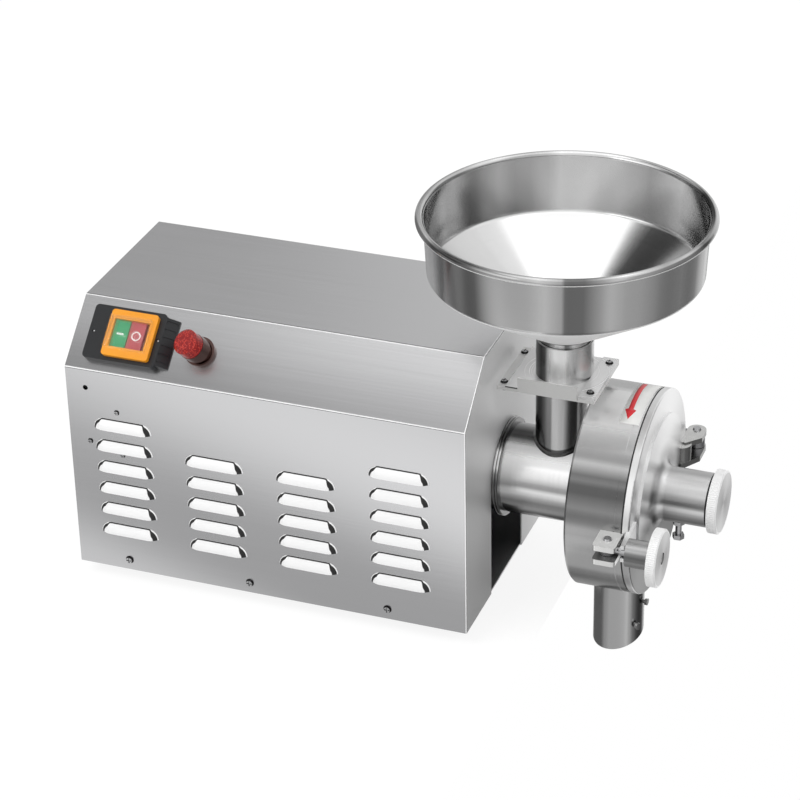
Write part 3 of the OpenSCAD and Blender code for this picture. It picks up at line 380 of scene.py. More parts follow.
def away_from(tree, centre, axis):
    """Distance in metres from a turned part's axis, which runs along X or Z."""
    keep = (0.0, 1.0, 1.0) if axis == "X" else (1.0, 1.0, 0.0)
    return length(tree, stretched(tree, minus(tree, row_place(tree), centre), keep))


def angle_round(tree, place, axis, centre):
    """Angle in degrees round an axis. Round X it runs from the front up over the top, round Z from the
    front to the right."""
    x, y, z = add(tree, "ShaderNodeSeparateXYZ", {"Vector": minus(tree, place, centre)}).outputs
    front = sums(tree, "MULTIPLY", y, -1.0)
    return sums(tree, "MULTIPLY", sums(tree, "ARCTAN2", z if axis == "X" else x, front), 180 / math.pi)


def tinted(tree, shader, tint):
    """Multiplies what feeds the base colour by a tint."""
    feed(tree, shader, "Base Color", colour_blend(tree, 1.0, fed(shader, "Base Color"), tint, "MULTIPLY"))


def finish_metal(tree, shader, colour, streaks, shade, rough, spread, bump, depth=GRAIN_DEPTH):
    """Colour and roughness that vary with streaks from 0 to 1, and a shallow bump from them."""
    tone = grey(tree, blend_number(tree, streaks, 1 - shade, 1 + shade))
    feed(tree, shader, "Base Color", colour_blend(tree, 1.0, colour, tone, "MULTIPLY"))
    feed(tree, shader, "Metallic", 1.0)
    feed(tree, shader, "Roughness", blend_number(tree, streaks, rough - spread, rough + spread))
    raised = add(tree, "ShaderNodeBump", {"Strength": bump, "Distance": depth, "Height": streaks})
    feed(tree, shader, "Normal", raised.outputs[0])


def brushed(name, colour, rough, along=(4.0, 700.0, 700.0)):
    """Sheet brushed in one direction, with faint broad clouding."""
    material, tree, shader = new_material(name)
    place = row_place(tree)
    fine = noise(tree, stretched(tree, place, along), 1.0, 4.0)
    broad = noise(tree, place, 7.0, 2.0)
    streaks = blend_number(tree, CLOUDS, fine, broad)
    finish_metal(tree, shader, colour, streaks, shade=0.05, rough=rough, spread=0.06, bump=0.12)
    return material


def turned(name, colour, rough, axis="X", centre=MILL_AXIS, rings=900.0, shade=0.06, spread=0.06,
           bump=0.15, anisotropic=0.5, clouds=CLOUDS):
    """Metal turned about an axis: fine rings, and streaks round the axis."""
    material, tree, shader = new_material(name)
    place = row_place(tree)
    along = axis_of(tree, minus(tree, place, centre), axis)
    where = add(tree, "ShaderNodeCombineXYZ", {0: along, 1: away_from(tree, centre, axis)}).outputs[0]
    fine = noise(tree, stretched(tree, where, (rings, rings, 1.0)), 1.0)
    broad = noise(tree, place, 18.0, 2.0)
    streaks = blend_number(tree, clouds, fine, broad)
    finish_metal(tree, shader, colour, streaks, shade, rough, spread, bump)
    feed(tree, shader, "Anisotropic", anisotropic)
    feed(tree, shader, "Anisotropic Rotation", 0.25)
    round_axis = add(tree, "ShaderNodeTangent", direction_type="RADIAL", axis=axis)
    feed(tree, shader, "Tangent", round_axis.outputs[0])
    return material


def plain_metal(name, colour, rough=0.35, shade=0.1, scale=220.0, bump=0.1):
    """Metal with an even grain."""
    material, tree, shader = new_material(name)
    grain = noise(tree, row_place(tree), scale, 4.0)
    finish_metal(tree, shader, colour, grain, shade, rough, spread=0.08, bump=bump, depth=COARSE_DEPTH)
    return material


def plastic(name, colour, rough=0.35, grain=0.08, scale=900.0, coat=0.0):
    """Moulded plastic, rubber or paint with a fine grain and faint clouding."""
    material, tree, shader = new_material(name)
    place = row_place(tree)
    fine = noise(tree, place, scale)
    tone = grey(tree, blend_number(tree, noise(tree, place, 40.0), 0.88, 1.12))
    feed(tree, shader, "Base Color", colour_blend(tree, 1.0, colour, tone, "MULTIPLY"))
    feed(tree, shader, "Roughness", blend_number(tree, fine, rough - 0.06, rough + 0.06))
    if coat:
        feed(tree, shader, "Coat Weight", coat)
        feed(tree, shader, "Coat Roughness", 0.08)
    raised = add(tree, "ShaderNodeBump", {"Strength": grain, "Distance": GRAIN_DEPTH, "Height": fine})
    feed(tree, shader, "Normal", raised.outputs[0])
    return material


def clear_plastic(name, colour, rough, weight, alpha=1.0):
    """Plastic that lets a share of the light through."""
    material, tree, shader = new_material(name)
    grain = noise(tree, row_place(tree), 300.0)
    feed(tree, shader, "Base Color", (*colour, 1))
    feed(tree, shader, "Roughness", blend_number(tree, grain, rough - 0.04, rough + 0.04))
    feed(tree, shader, "Transmission Weight", weight)
    feed(tree, shader, "IOR", PLASTIC_IOR)
    feed(tree, shader, "Alpha", alpha)
    return material


# The tone that a turned part's painted reflection bands settle to round its back, and the degrees they take
# for it
BACK_TONE = 0.6
SETTLE = 25


def bands(tree, angle, stops):
    """A painted reflection's brightness for each angle, from stops given as (angle, brightness) with
    straight runs between. Past the first and last stop it settles to an even tone round the back."""
    before = stops[0][0] - SETTLE
    after = stops[-1][0] + SETTLE
    stops = [(-180, BACK_TONE), (before, BACK_TONE), *stops, (after, BACK_TONE), (180, BACK_TONE)]
    share = add(tree, "ShaderNodeMapRange", {"Value": angle, "From Min": -180, "From Max": 180})
    ramp = add(tree, "ShaderNodeValToRGB", {"Fac": share.outputs["Result"]})
    points = ramp.color_ramp.elements
    while len(points) < len(stops):
        points.new(0.5)
    for point, (degrees, level) in zip(points, stops):
        point.position = (degrees + 180) / 360
    for point, (degrees, level) in zip(points, stops):
        point.color = (level, level, level, 1)
    return ramp.outputs["Color"]


def paint_reflection_bands(material, axis, centre, stops):
    """Tints a turned material with painted reflection bands by the angle round its axis, on faces that look
    away from the axis.
    """
    tree, shader = parts_of(material)
    tint = bands(tree, angle_round(tree, row_place(tree), axis, centre), stops)
    flat = ramp_up(tree, facing_either_way(tree, axis), 0.6, 0.9)
    tinted(tree, shader, colour_blend(tree, flat, tint, WHITE))


# Degrees over which a dull stretch of a turned part fades in, of which these lie inside its limits
VEIL_FADE = 8
VEIL_INSIDE = 3


def veiled(material, axis, centre, low, high, share):
    """Between two angles round the axis part of the surface is dull, so that it stays pale."""
    tree, shader = parts_of(material)
    angle = angle_round(tree, row_place(tree), axis, centre)
    veil = between(tree, angle, low + VEIL_INSIDE, high - VEIL_INSIDE, VEIL_FADE, VEIL_FADE)
    feed(tree, shader, "Metallic", blend_number(tree, veil, 1.0, 1 - share))


def dull_on_top(material, share):
    """Faces that look up are partly dull, so that they stay pale."""
    tree, shader = parts_of(material)
    top = ramp_up(tree, normal_part(tree, "Z"), 0.6, 0.9)
    feed(tree, shader, "Metallic", blend_number(tree, top, fed(shader, "Metallic"), 1 - share))


def darker_where(material, mask, tone):
    """Multiplies a material's colour by a tone where the mask is 1."""
    tree, shader = parts_of(material)
    tinted(tree, shader, colour_blend(tree, mask, WHITE, (tone, tone, tone)))


# Colour of the painted light on faces that look down
PAINTED_UNDERSIDE_LIGHT = (0.95, 0.95, 0.95)


def paint_underside_light(material):
    """Painted light: makes faces that look down pale and dull, standing in for the white bench's light that
    sheet above it reflects.
    """
    tree, shader = parts_of(material)
    above = ramp_up(tree, normal_part(tree, "Z"), -0.55, -0.25)
    feed(tree, shader, "Base Color", colour_blend(tree, above, PAINTED_UNDERSIDE_LIGHT, fed(shader, "Base Color")))
    feed(tree, shader, "Metallic", blend_number(tree, above, 0.3, 1.0))
    feed(tree, shader, "Roughness", blend_number(tree, above, 0.5, fed(shader, "Roughness")))


# The casing

# Painted shade on the sheet's cut edge, the colour of painted highlights, and the painted dark line beside
# a fold
PAINTED_EDGE_SHADE = (0.08, 0.08, 0.09)
PAINTED_HIGHLIGHT = (0.97, 0.97, 0.97)
PAINTED_FOLD_SHADE = (0.12, 0.12, 0.13)
# Distance in metres from the sheet's right edge at which its painted highlight line starts, and is full
LIT_START = 0.0011
LIT_FULL = 0.0007


def paint_edge_lines(material):
    """Painted shade darkens the sheet's cut right edge, and a fine painted highlight line runs beside it.
    """
    tree, shader = parts_of(material)
    side = at(CASING_L, 0, 0).x
    line = ramp_up(tree, axis_of(tree, row_place(tree), "X"), side - LIT_START, side - LIT_FULL)
    cut = ramp_up(tree, normal_part(tree, "X"), 0.7, 0.9)
    lit = colour_blend(tree, line, fed(shader, "Base Color"), PAINTED_HIGHLIGHT)
    feed(tree, shader, "Base Color", colour_blend(tree, cut, lit, PAINTED_EDGE_SHADE))
    feed(tree, shader, "Metallic", blend_number(tree, line, fed(shader, "Metallic"), 0.1))
    return material


# How far the slope faces up, at the least and at the most
SLOPE_TILT = (0.6, 0.85)
# Each fold by how far its surface faces up: where its painted highlight is, and where the painted dark line
# beside it is
FOLDS = [
    (0.20, 0.50, 0.06, 0.14),
    (0.84, 0.95, 0.975, 0.995),
]


def make_casing_steel():
    """The folded casing. Painted shade darkens the slope to its lower edge and to the left, and both folds
    have a painted highlight beside a fine painted dark line."""
    material = brushed("casing_steel", STEEL, rough=0.24)
    tree, shader = parts_of(material)
    x, y, z = add(tree, "ShaderNodeSeparateXYZ", {"Vector": row_place(tree)}).outputs
    tilt = normal_part(tree, "Z")
    forward = normal_part(tree, "Y")
    slope = between(tree, tilt, *SLOPE_TILT, 0.3, 0.12)
    slope = sums(tree, "MULTIPLY", slope, ramp_up(tree, forward, -0.1, -0.3))
    # Painted shade on the slope: darker to its lower edge and to the left
    upward = ramp_up(tree, z, at(0, 0, FRONT_H - 5).z, at(0, 0, CASING_H - 3).z)
    rightward = ramp_up(tree, x, at(40, 0, 0).x, at(CASING_L - 70, 0, 0).x)
    upward = blend_number(tree, upward, 0.66, 1.02)
    rightward = blend_number(tree, rightward, 0.78, 1.0)
    shade = sums(tree, "MULTIPLY", upward, rightward)
    tinted(tree, shader, grey(tree, blend_number(tree, slope, 1.0, shade)))
    # Painted highlights along the folds, each beside a painted dark line
    bright = 0.0
    dark = 0.0
    for low, high, line_low, line_high in FOLDS:
        bright = sums(tree, "MAXIMUM", bright, between(tree, tilt, low, high, 0.04, 0.02))
        dark = sums(tree, "MAXIMUM", dark, between(tree, tilt, line_low, line_high, 0.01, 0.01))
    front = ramp_up(tree, forward, 0.0, -0.06)
    bright = sums(tree, "MULTIPLY", bright, front)
    dark = sums(tree, "MULTIPLY", dark, front)
    lit = colour_blend(tree, bright, fed(shader, "Base Color"), PAINTED_HIGHLIGHT)
    feed(tree, shader, "Base Color", colour_blend(tree, dark, lit, PAINTED_FOLD_SHADE))
    feed(tree, shader, "Metallic", blend_number(tree, bright, 1.0, 0.1))
    return paint_edge_lines(material)


def make_end_steel():
    """The end panels: duller, and with a painted light gradient the right one pales to the back and the
    top.
    """
    material = brushed("end_panel_steel", PALE, rough=0.5, along=(700.0, 700.0, 4.0))
    tree, shader = parts_of(material)
    x, y, z = add(tree, "ShaderNodeSeparateXYZ", {"Vector": row_place(tree)}).outputs
    start = CORNER.y + CORNER.z
    # Painted light: paler towards the back and the top
    pale = ramp_up(tree, sums(tree, "ADD", y, z), start + 0.13, start + 0.285)
    tinted(tree, shader, grey(tree, blend_number(tree, pale, 0.62, 1.0)))
    feed(tree, shader, "Metallic", 0.6)
    return material


def make_head_steel():
    """Screws whose heads are bright in the middle and darkened round the edge with painted shade. Those on
    the gate point up.
    """
    material = plain_metal("screw_head_steel", (0.72, 0.72, 0.73), rough=0.26)
    tree, shader = parts_of(material)
    past_casing = at(CASING_L + 3, 0, 0).x
    on_gate = ramp_up(tree, axis_of(tree, row_place(tree), "X"), past_casing, past_casing + 0.002)
    along = blend_number(tree, on_gate, facing_either_way(tree, "Y"), facing_either_way(tree, "Z"))
    # Painted shade round the edge of each head
    tinted(tree, shader, grey(tree, blend_number(tree, ramp_up(tree, along, 0.6, 0.85), 0.05, 1.0)))
    return material


# The painted shade stroke on a louvre, as its distance from the sheet and its half width in millimetres:
# along its long edges, at its right end and at its left end
LONG_SHADE_STROKE = (0.55, 0.55)
RIGHT_SHADE_STROKE = (2.3, 1.3)
LEFT_SHADE_STROKE = (1.7, 0.9)


def make_front_steel():
    """The brushed front. Its louvres are a pale, dull painted highlight, with a thin painted shade line
    where each hood leaves the sheet, a painted shade stroke just inside its round ends, the wider one on
    the right, and painted shade on faces that look down."""
    material = brushed("front_steel", STEEL, rough=0.24)
    tree, shader = parts_of(material)
    out = sums(tree, "SUBTRACT", CORNER.y, axis_of(tree, row_place(tree), "Y"))
    out = sums(tree, "MULTIPLY", out, 1000.0)
    hood = ramp_up(tree, out, 0.05, 0.25)
    right = ramp_up(tree, normal_part(tree, "X"), 0.12, 0.32)
    left = ramp_up(tree, normal_part(tree, "X"), -0.12, -0.32)
    middle, half = [blend_number(tree, left, blend_number(tree, right, long, at_right), at_left)
                    for long, at_right, at_left in zip(LONG_SHADE_STROKE, RIGHT_SHADE_STROKE, LEFT_SHADE_STROKE)]
    away = sums(tree, "ABSOLUTE", sums(tree, "SUBTRACT", out, middle))
    past = ramp_up(tree, sums(tree, "SUBTRACT", away, half), -0.15, 0.2)
    below = ramp_up(tree, normal_part(tree, "Z"), -0.3, 0.0)
    # Painted shade: the stroke and faces that look down darken the hood, and the rest of it is a pale
    # painted highlight
    stroke = blend_number(tree, past, 0.015, 0.95)
    tone = sums(tree, "MULTIPLY", stroke, blend_number(tree, below, 0.15, 1.0))
    feed(tree, shader, "Base Color", colour_blend(tree, hood, fed(shader, "Base Color"), grey(tree, tone)))
    feed(tree, shader, "Metallic", blend_number(tree, hood, 1.0, 0.15))
    feed(tree, shader, "Roughness", blend_number(tree, hood, fed(shader, "Roughness"), 0.45))
    return paint_edge_lines(material)


def make_lamp_glass():
    """Red lens with small prisms inside."""
    material = clear_plastic("lamp_lens_red", (0.86, 0.02, 0.03), 0.12, weight=0.35)
    tree, shader = parts_of(material)
    cells = add(tree, "ShaderNodeTexVoronoi", {"Vector": row_place(tree), "Scale": 620.0})
    prism = ramp_up(tree, cells.outputs["Distance"], 0.15, 0.62)
    feed(tree, shader, "Base Color", colour_blend(tree, prism, (0.90, 0.075, 0.05), (0.36, 0.008, 0.01)))
    return material


# The turned parts, with painted reflections of the room's light and dark round each as (angle, brightness)

DRUM_REFLECTION_BANDS = [
    (-45, 0.3), (-37, 0.4), (-30, 1.0), (-11, 1.0), (-5, 0.65), (0, 0.45), (4, 0.45), (7, 0.36), (11, 0.3),
    (15, 0.36), (20, 0.22), (24, 0.13), (28, 0.13), (31, 0.23), (34, 0.18), (37, 0.4), (40.5, 0.7),
    (44, 0.42), (48, 0.5), (53, 0.72), (59, 0.95), (93, 0.95), (99, 0.6), (110, 0.5),
]
BARREL_REFLECTION_BANDS = [
    (-45, 0.07), (-36, 0.1), (-28, 0.5), (-23, 0.62), (-14, 0.42), (-8, 0.7), (-3, 0.95), (3, 0.8),
    (8, 0.46), (14, 0.62), (20, 0.78), (26, 0.9), (34, 1.0), (62, 1.0), (67, 0.7), (72, 0.2), (76, 0.12),
    (85, 0.07), (100, 0.3),
]
RING_REFLECTION_BANDS = [
    (-60, 0.05), (-30, 0.1), (-10, 0.2), (10, 0.12), (20, 0.3), (27, 0.9), (45, 1.0), (52, 0.3), (60, 0.12),
    (100, 0.2),
]
BOSS_REFLECTION_BANDS = [
    (-60, 0.4), (-37, 0.4), (-20, 0.58), (-12, 0.95), (2, 1.0), (6, 0.6), (10, 0.33), (18, 0.39),
    (25, 0.45), (30, 0.6), (34, 0.74), (43, 0.85), (52, 0.9), (62, 1.0),
]
INLET_REFLECTION_BANDS = [
    (-60, 0.04), (-46, 0.06), (-34, 0.09), (-24, 0.21), (-16, 0.42), (-8, 0.52), (6, 0.52), (11, 0.62),
    (18, 0.53), (24, 0.33), (31, 0.14), (38, 0.07), (46, 0.05), (51, 0.1), (54, 0.7), (60, 0.6),
]
COLLAR_REFLECTION_BANDS = [
    (-60, 0.22), (-50, 0.2), (-37, 0.07), (-25, 0.16), (-17, 0.8), (-10, 1.0), (18, 1.0), (25, 0.7),
    (33, 0.53), (41, 0.66), (50, 0.82), (60, 0.62),
]
SPOUT_REFLECTION_BANDS = [
    (-70, 0.5), (-42, 0.6), (-31, 0.6), (-22, 0.36), (-14, 0.4), (-6, 0.5), (14, 0.52), (20, 0.54),
    (27, 0.58), (34, 0.7), (42, 0.83), (49, 0.42), (58, 0.2), (68, 0.11), (82, 0.12),
]
PAN_REFLECTION_BANDS = [
    (-60, 1.0), (-50, 1.0), (-43, 0.36), (-32, 0.2), (-21, 0.18), (-12, 0.45), (-9, 0.52), (2, 0.65),
    (7, 0.79), (15.5, 0.5), (17, 0.19), (24, 0.2), (31, 0.46), (39, 0.9), (47, 0.84), (57, 0.56),
    (69, 0.76), (76, 0.5), (80, 0.22),
]
# Inside the pan the angle is that of the far side, which faces the front
PAN_INNER_REFLECTION_BANDS = [
    (-75, 0.08), (-55, 0.08), (-45, 0.5), (-38, 0.85), (-20, 0.62), (-12, 0.85), (-6, 1.0), (3, 0.88),
    (20, 0.95), (25, 0.7), (33, 0.58), (40, 0.66), (47, 1.0), (56, 0.95), (62, 0.75), (68, 0.65), (79, 0.7),
    (90, 0.5),
]
CONE_REFLECTION_BANDS = [
    (-60, 0.6), (-45, 0.5), (-38, 0.33), (-24, 0.35), (-17, 0.9), (-12, 1.0), (60, 1.0), (70, 0.85),
    (90, 0.8),
]
HUB_REFLECTION_BANDS = [
    (-70, 0.3), (-50, 0.35), (-30, 1.0), (-12, 1.0), (-4, 0.4), (12, 0.3), (28, 0.42), (38, 0.95),
    (60, 1.0), (90, 0.8),
]


# Height of the foot of the pan's wall, where the cone starts, and half the stretch where they blend
PAN_FOOT = at(0, 0, 334).z
FOOT_BLEND = 0.0015
# Distance from the neck's axis within which the cone's underside is in shade, and its tone there
NECK_REACH = (0.036, 0.029)
NECK_TONE = 0.12


def make_hopper_steel():
    """The polished pan: painted reflection bands, one set outside, one on its wall inside and one on its
    cone inside, with painted light on faces that look down and painted shade under the cone near the neck.
    """
    material = turned("hopper_steel", PALE, rough=0.19, axis="Z", centre=COLLAR_AXIS, rings=500.0,
                      shade=0.03, spread=0.03, bump=0.015, anisotropic=0.7)
    tree, shader = parts_of(material)
    place = row_place(tree)
    level = stretched(tree, minus(tree, place, COLLAR_AXIS), (1.0, 1.0, 0.0))
    outward = dot(tree, add(tree, "ShaderNodeNewGeometry").outputs["Normal"], level)
    outside = bands(tree, angle_round(tree, place, "Z", COLLAR_AXIS), PAN_REFLECTION_BANDS)
    across = stretched(tree, level, (-1.0, -1.0, 0.0))
    facing = angle_round(tree, across, "Z", (0.0, 0.0, 0.0))
    high = ramp_up(tree, axis_of(tree, place, "Z"), PAN_FOOT - FOOT_BLEND, PAN_FOOT + FOOT_BLEND)
    inside = colour_blend(tree, high, bands(tree, facing, CONE_REFLECTION_BANDS), bands(tree, facing, PAN_INNER_REFLECTION_BANDS))
    tinted(tree, shader, colour_blend(tree, ramp_up(tree, outward, -0.002, 0.002), inside, outside))
    paint_underside_light(material)
    # Painted shade under the cone near the neck
    near_neck = ramp_up(tree, away_from(tree, COLLAR_AXIS, "Z"), *NECK_REACH)
    under = ramp_up(tree, normal_part(tree, "Z"), -0.25, -0.55)
    darker_where(material, sums(tree, "MULTIPLY", near_neck, under), NECK_TONE)
    return material


# Radius in metres over which the boss's painted reflection bands fade out, and the heights over the axis
# between which painted shade turns the cover's face grey
BOSS_REACH = (0.034, 0.052)
PAINTED_SHADE_HEIGHT = (0.010, -0.020)
COVER_PAINTED_SHADE = 0.18


def make_cover_steel():
    """The cover: painted reflection bands round its boss that fade out over its root, and painted shade
    that turns its face grey below.
    """
    material = turned("cover_steel", PALE, rough=0.34, anisotropic=0.6)
    tree, shader = parts_of(material)
    place = row_place(tree)
    near = ramp_up(tree, away_from(tree, MILL_AXIS, "X"), *BOSS_REACH)
    boss = bands(tree, angle_round(tree, place, "X", MILL_AXIS), BOSS_REFLECTION_BANDS)
    tinted(tree, shader, colour_blend(tree, near, boss, WHITE))
    face = ramp_up(tree, normal_part(tree, "X"), 0.5, 0.9)
    low = ramp_up(tree, axis_of(tree, minus(tree, place, MILL_AXIS), "Z"), *PAINTED_SHADE_HEIGHT)
    # Painted shade: the cover's face greys below the axis
    darker_where(material, sums(tree, "MULTIPLY", face, low), COVER_PAINTED_SHADE)
    return material


# Radius in metres from which a knob is its knurled rim, and where the clamp knob's hub ends
KNOB_RIM = 0.0290
CLAMP_KNOB_RIM = 0.0258
CLAMP_HUB = 0.0140


def make_knob_steel(name, centre, rim):
    """A turned knob with a grey face, darker to the middle, a pale knurled rim, and painted reflection
    bands round its hub.
    """
    material = turned(name, PALE, rough=0.36, centre=centre)
    tree, shader = parts_of(material)
    radius = away_from(tree, centre, "X")
    knurl = ramp_up(tree, radius, rim - 0.0012, rim - 0.0004)
    face = blend_number(tree, ramp_up(tree, radius, 0.0, rim), 0.5, 0.72)
    tinted(tree, shader, grey(tree, blend_number(tree, knurl, face, 1.0)))
    feed(tree, shader, "Metallic", blend_number(tree, knurl, 1.0, 0.25))
    sides = ramp_up(tree, facing_either_way(tree, "X"), 0.8, 0.5)
    hub = sums(tree, "MULTIPLY", sides, ramp_up(tree, radius, CLAMP_HUB + 0.001, CLAMP_HUB))
    # Painted reflection bands round the hub
    tint = bands(tree, angle_round(tree, row_place(tree), "X", centre), HUB_REFLECTION_BANDS)
    tinted(tree, shader, colour_blend(tree, hub, WHITE, tint))
    return material


# Distance from the mill's axis within which the inlet tube's weld is dark
WELD_REACH = (0.0478, 0.0465)


def make_inlet_steel():
    """The upright tube, dark at the weld where it stands on the barrel."""
    material = turned("inlet_steel", PALE, rough=0.18, axis="Z", centre=INLET_AXIS)
    paint_reflection_bands(material, "Z", INLET_AXIS, INLET_REFLECTION_BANDS)
    tree, shader = parts_of(material)
    darker_where(material, ramp_up(tree, away_from(tree, MILL_AXIS, "X"), *WELD_REACH), 0.2)
    return material


def make_collar_steel():
    material = turned("collar_steel", PALE, rough=0.26, axis="Z", centre=COLLAR_AXIS, shade=0.02, bump=0.02)
    paint_reflection_bands(material, "Z", COLLAR_AXIS, COLLAR_REFLECTION_BANDS)
    veiled(material, "Z", COLLAR_AXIS, -14, 18, 0.4)
    dull_on_top(material, 0.5)
    return material


def make_barrel_steel():
    material = turned("barrel_steel", WHITE, rough=0.20)
    paint_reflection_bands(material, "X", MILL_AXIS, BARREL_REFLECTION_BANDS)
    veiled(material, "X", MILL_AXIS, 48, 62, 0.7)
    return material


def make_ring_steel():
    """The collar where the barrel leaves the casing. Its front face is in shade."""
    material = turned("ring_steel", PALE, rough=0.16)
    paint_reflection_bands(material, "X", MILL_AXIS, RING_REFLECTION_BANDS)
    tree, shader = parts_of(material)
    darker_where(material, ramp_up(tree, normal_part(tree, "X"), 0.5, 0.8), 0.12)
    return material


def make_drum_steel():
    material = turned("drum_steel", PALE, rough=0.22, spread=0.08, clouds=0.15)
    paint_reflection_bands(material, "X", MILL_AXIS, DRUM_REFLECTION_BANDS)
    veiled(material, "X", MILL_AXIS, 62, 96, 0.4)
    return material


def make_spout_steel():
    material = turned("spout_steel", PALE, rough=0.22, axis="Z", centre=SPOUT_AXIS)
    paint_reflection_bands(material, "Z", SPOUT_AXIS, SPOUT_REFLECTION_BANDS)
    return material


# Flat trim

def make_plate_steel():
    """The gate's plates, pale above and below with painted light underneath, and a front lip greyed with
    painted shade.
    """
    material = brushed("plate_steel", (0.90, 0.90, 0.89), rough=0.42, along=(500.0, 6.0, 500.0))
    paint_underside_light(material)
    dull_on_top(material, 0.5)
    tree, shader = parts_of(material)
    # Painted shade greys the front lip
    darker_where(material, ramp_up(tree, normal_part(tree, "Y"), -0.5, -0.8), 0.72)
    return material


# Height from the clamp's middle within which painted shade darkens its bracket
CLAMP_GAP = (0.0048, 0.0044)


def make_bracket_steel():
    """The clamp's bracket, darkened with painted shade in the gap between its two plates."""
    material = plain_metal("bracket_steel", (0.88, 0.88, 0.87), rough=0.24, shade=0.12)
    dull_on_top(material, 0.6)
    tree, shader = parts_of(material)
    up = sums(tree, "SUBTRACT", axis_of(tree, row_place(tree), "Z"), CLAMP_AXIS.z)
    # Painted shade in the gap between the plates
    darker_where(material, ramp_up(tree, sums(tree, "ABSOLUTE", up), *CLAMP_GAP), 0.06)
    return material


def make_hinge_steel():
    """The hinge's bracket, darkened with painted shade on all that doesn't face up."""
    material = plain_metal("hinge_steel", (0.74, 0.74, 0.73), rough=0.24, shade=0.12)
    tree, shader = parts_of(material)
    # Painted shade on faces that don't face up
    darker_where(material, ramp_up(tree, normal_part(tree, "Z"), 0.6, 0.3), 0.3)
    return material


casing_steel = make_casing_steel()
front_steel = make_front_steel()
end_steel = make_end_steel()
tray_steel = brushed("tray_steel", (0.6, 0.6, 0.61), rough=0.38)
hopper_steel = make_hopper_steel()
inlet_steel = make_inlet_steel()
collar_steel = make_collar_steel()
spout_steel = make_spout_steel()
barrel_steel = make_barrel_steel()
ring_steel = make_ring_steel()
drum_steel = make_drum_steel()
cover_steel = make_cover_steel()
knob_steel = make_knob_steel("knob_steel", MILL_AXIS, KNOB_RIM)
clamp_knob_steel = make_knob_steel("clamp_knob_steel", CLAMP_AXIS, CLAMP_KNOB_RIM)
plate_steel = make_plate_steel()
bracket_steel = make_bracket_steel()
hinge_steel = make_hinge_steel()
head_steel = make_head_steel()
screw_steel = plain_metal("screw_steel", (0.55, 0.55, 0.56), rough=0.26)
dark_steel = plain_metal("dark_steel", (0.30, 0.30, 0.31), rough=0.36)
lamp_chrome = plain_metal("lamp_chrome", (0.16, 0.10, 0.09), rough=0.16)
iron = plain_metal("cast_iron", (0.22, 0.22, 0.23), rough=0.5, shade=0.25, scale=600.0, bump=0.5)
copper = plain_metal("winding_copper", (0.72, 0.35, 0.18), scale=900.0, bump=0.6)
motor_paint = plastic("motor_enamel", (0.13, 0.17, 0.21), rough=0.4, grain=0.3, scale=500.0)
rubber = plastic("foot_rubber", (0.035, 0.035, 0.036), rough=0.7, grain=0.4)
black_plastic = plastic("black_plastic", (0.012, 0.013, 0.015), rough=0.34, grain=0.25)
orange_plastic = plastic("orange_plastic", (0.88, 0.33, 0.008), rough=0.3, coat=0.3)
green_plastic = plastic("green_plastic", (0.02, 0.30, 0.11))
red_plastic = plastic("red_plastic", (0.42, 0.05, 0.06))
white_paint = plastic("white_mark", (0.90, 0.90, 0.88), rough=0.5)
label_white = plastic("label_white", (0.90, 0.90, 0.88), rough=0.32, grain=0.03)
label_red = plastic("label_red", (0.72, 0.03, 0.04), grain=0.03)
clear_cover = clear_plastic("clear_cover", (0.95, 0.97, 0.96), 0.05, weight=0.9, alpha=0.16)
lamp_glass = make_lamp_glass()

FINISHES = {
    casing_steel: ["casing_wrap"],
    front_steel: ["front_panel"],
    end_steel: ["end_panels"],
    tray_steel: ["base_tray"],
    hopper_steel: ["hopper"],
    inlet_steel: ["inlet_tube"],
    collar_steel: ["hopper_collar"],
    spout_steel: ["spout"],
    barrel_steel: ["barrel"],
    ring_steel: ["barrel_ring"],
    drum_steel: ["drum", "drum_back"],
    cover_steel: ["cover"],
    knob_steel: ["adjust_knob"],
    clamp_knob_steel: ["clamp_knob"],
    plate_steel: ["gate_base", "gate_rails", "gate_slide"],
    bracket_steel: ["clamp_bracket"],
    hinge_steel: ["hinge_bracket"],
    head_steel: ["pan_screws"],
    lamp_chrome: ["lamp_bezel"],
    screw_steel: ["cross_pins", "disc_nut", "main_shaft", "auger", "auger_flights",
                  "adjust_screw", "bearings", "lock_bolt", "swing_bolt"],
    dark_steel: ["base_bolts", "boss_cap", "hinge_lug", "disc_carrier", "disc_screws",
                 "barrel_plates"],
    iron: ["moving_disc", "fixed_disc", "rotor_core", "stator_core"],
    copper: ["windings"],
    motor_paint: ["motor_frame", "motor_feet", "drive_end_shield", "fan_end_shield", "fan_cowl"],
    rubber: ["rubber_feet", "shaft_seal", "cover_gasket"],
    black_plastic: ["switch_base", "cable_gland", "boss_seal", "start_capacitor", "cooling_fan"],
    orange_plastic: ["switch_frame"],
    green_plastic: ["green_button"],
    red_plastic: ["red_button"],
    clear_cover: ["switch_cover"],
    lamp_glass: ["lamp_lens"],
}
for material, names in FINISHES.items():
    for name in names:
        mesh = nodes[name].data
        mesh.materials.clear()
        mesh.materials.append(material)


# Pieces

def piece(name, bm, material, body, smooth=True):
    """A new object from a mesh, riding on a body."""
    mesh = bpy.data.meshes.new(name)
    bm.normal_update()
    bm.to_mesh(mesh)
    bm.free()
    mesh.materials.append(material)
    for face in mesh.polygons:
        face.use_smooth = smooth
    made = bpy.data.objects.new(name, mesh)
    bpy.context.scene.collection.objects.link(made)
    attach(made, body)


def band_of_faces(bm, a, b):
    """Faces all round between two loops of vertices."""
    count = len(a)
    for i in range(count):
        j = (i + 1) % count
        bm.faces.new((a[i], a[j], b[j], b[i]))


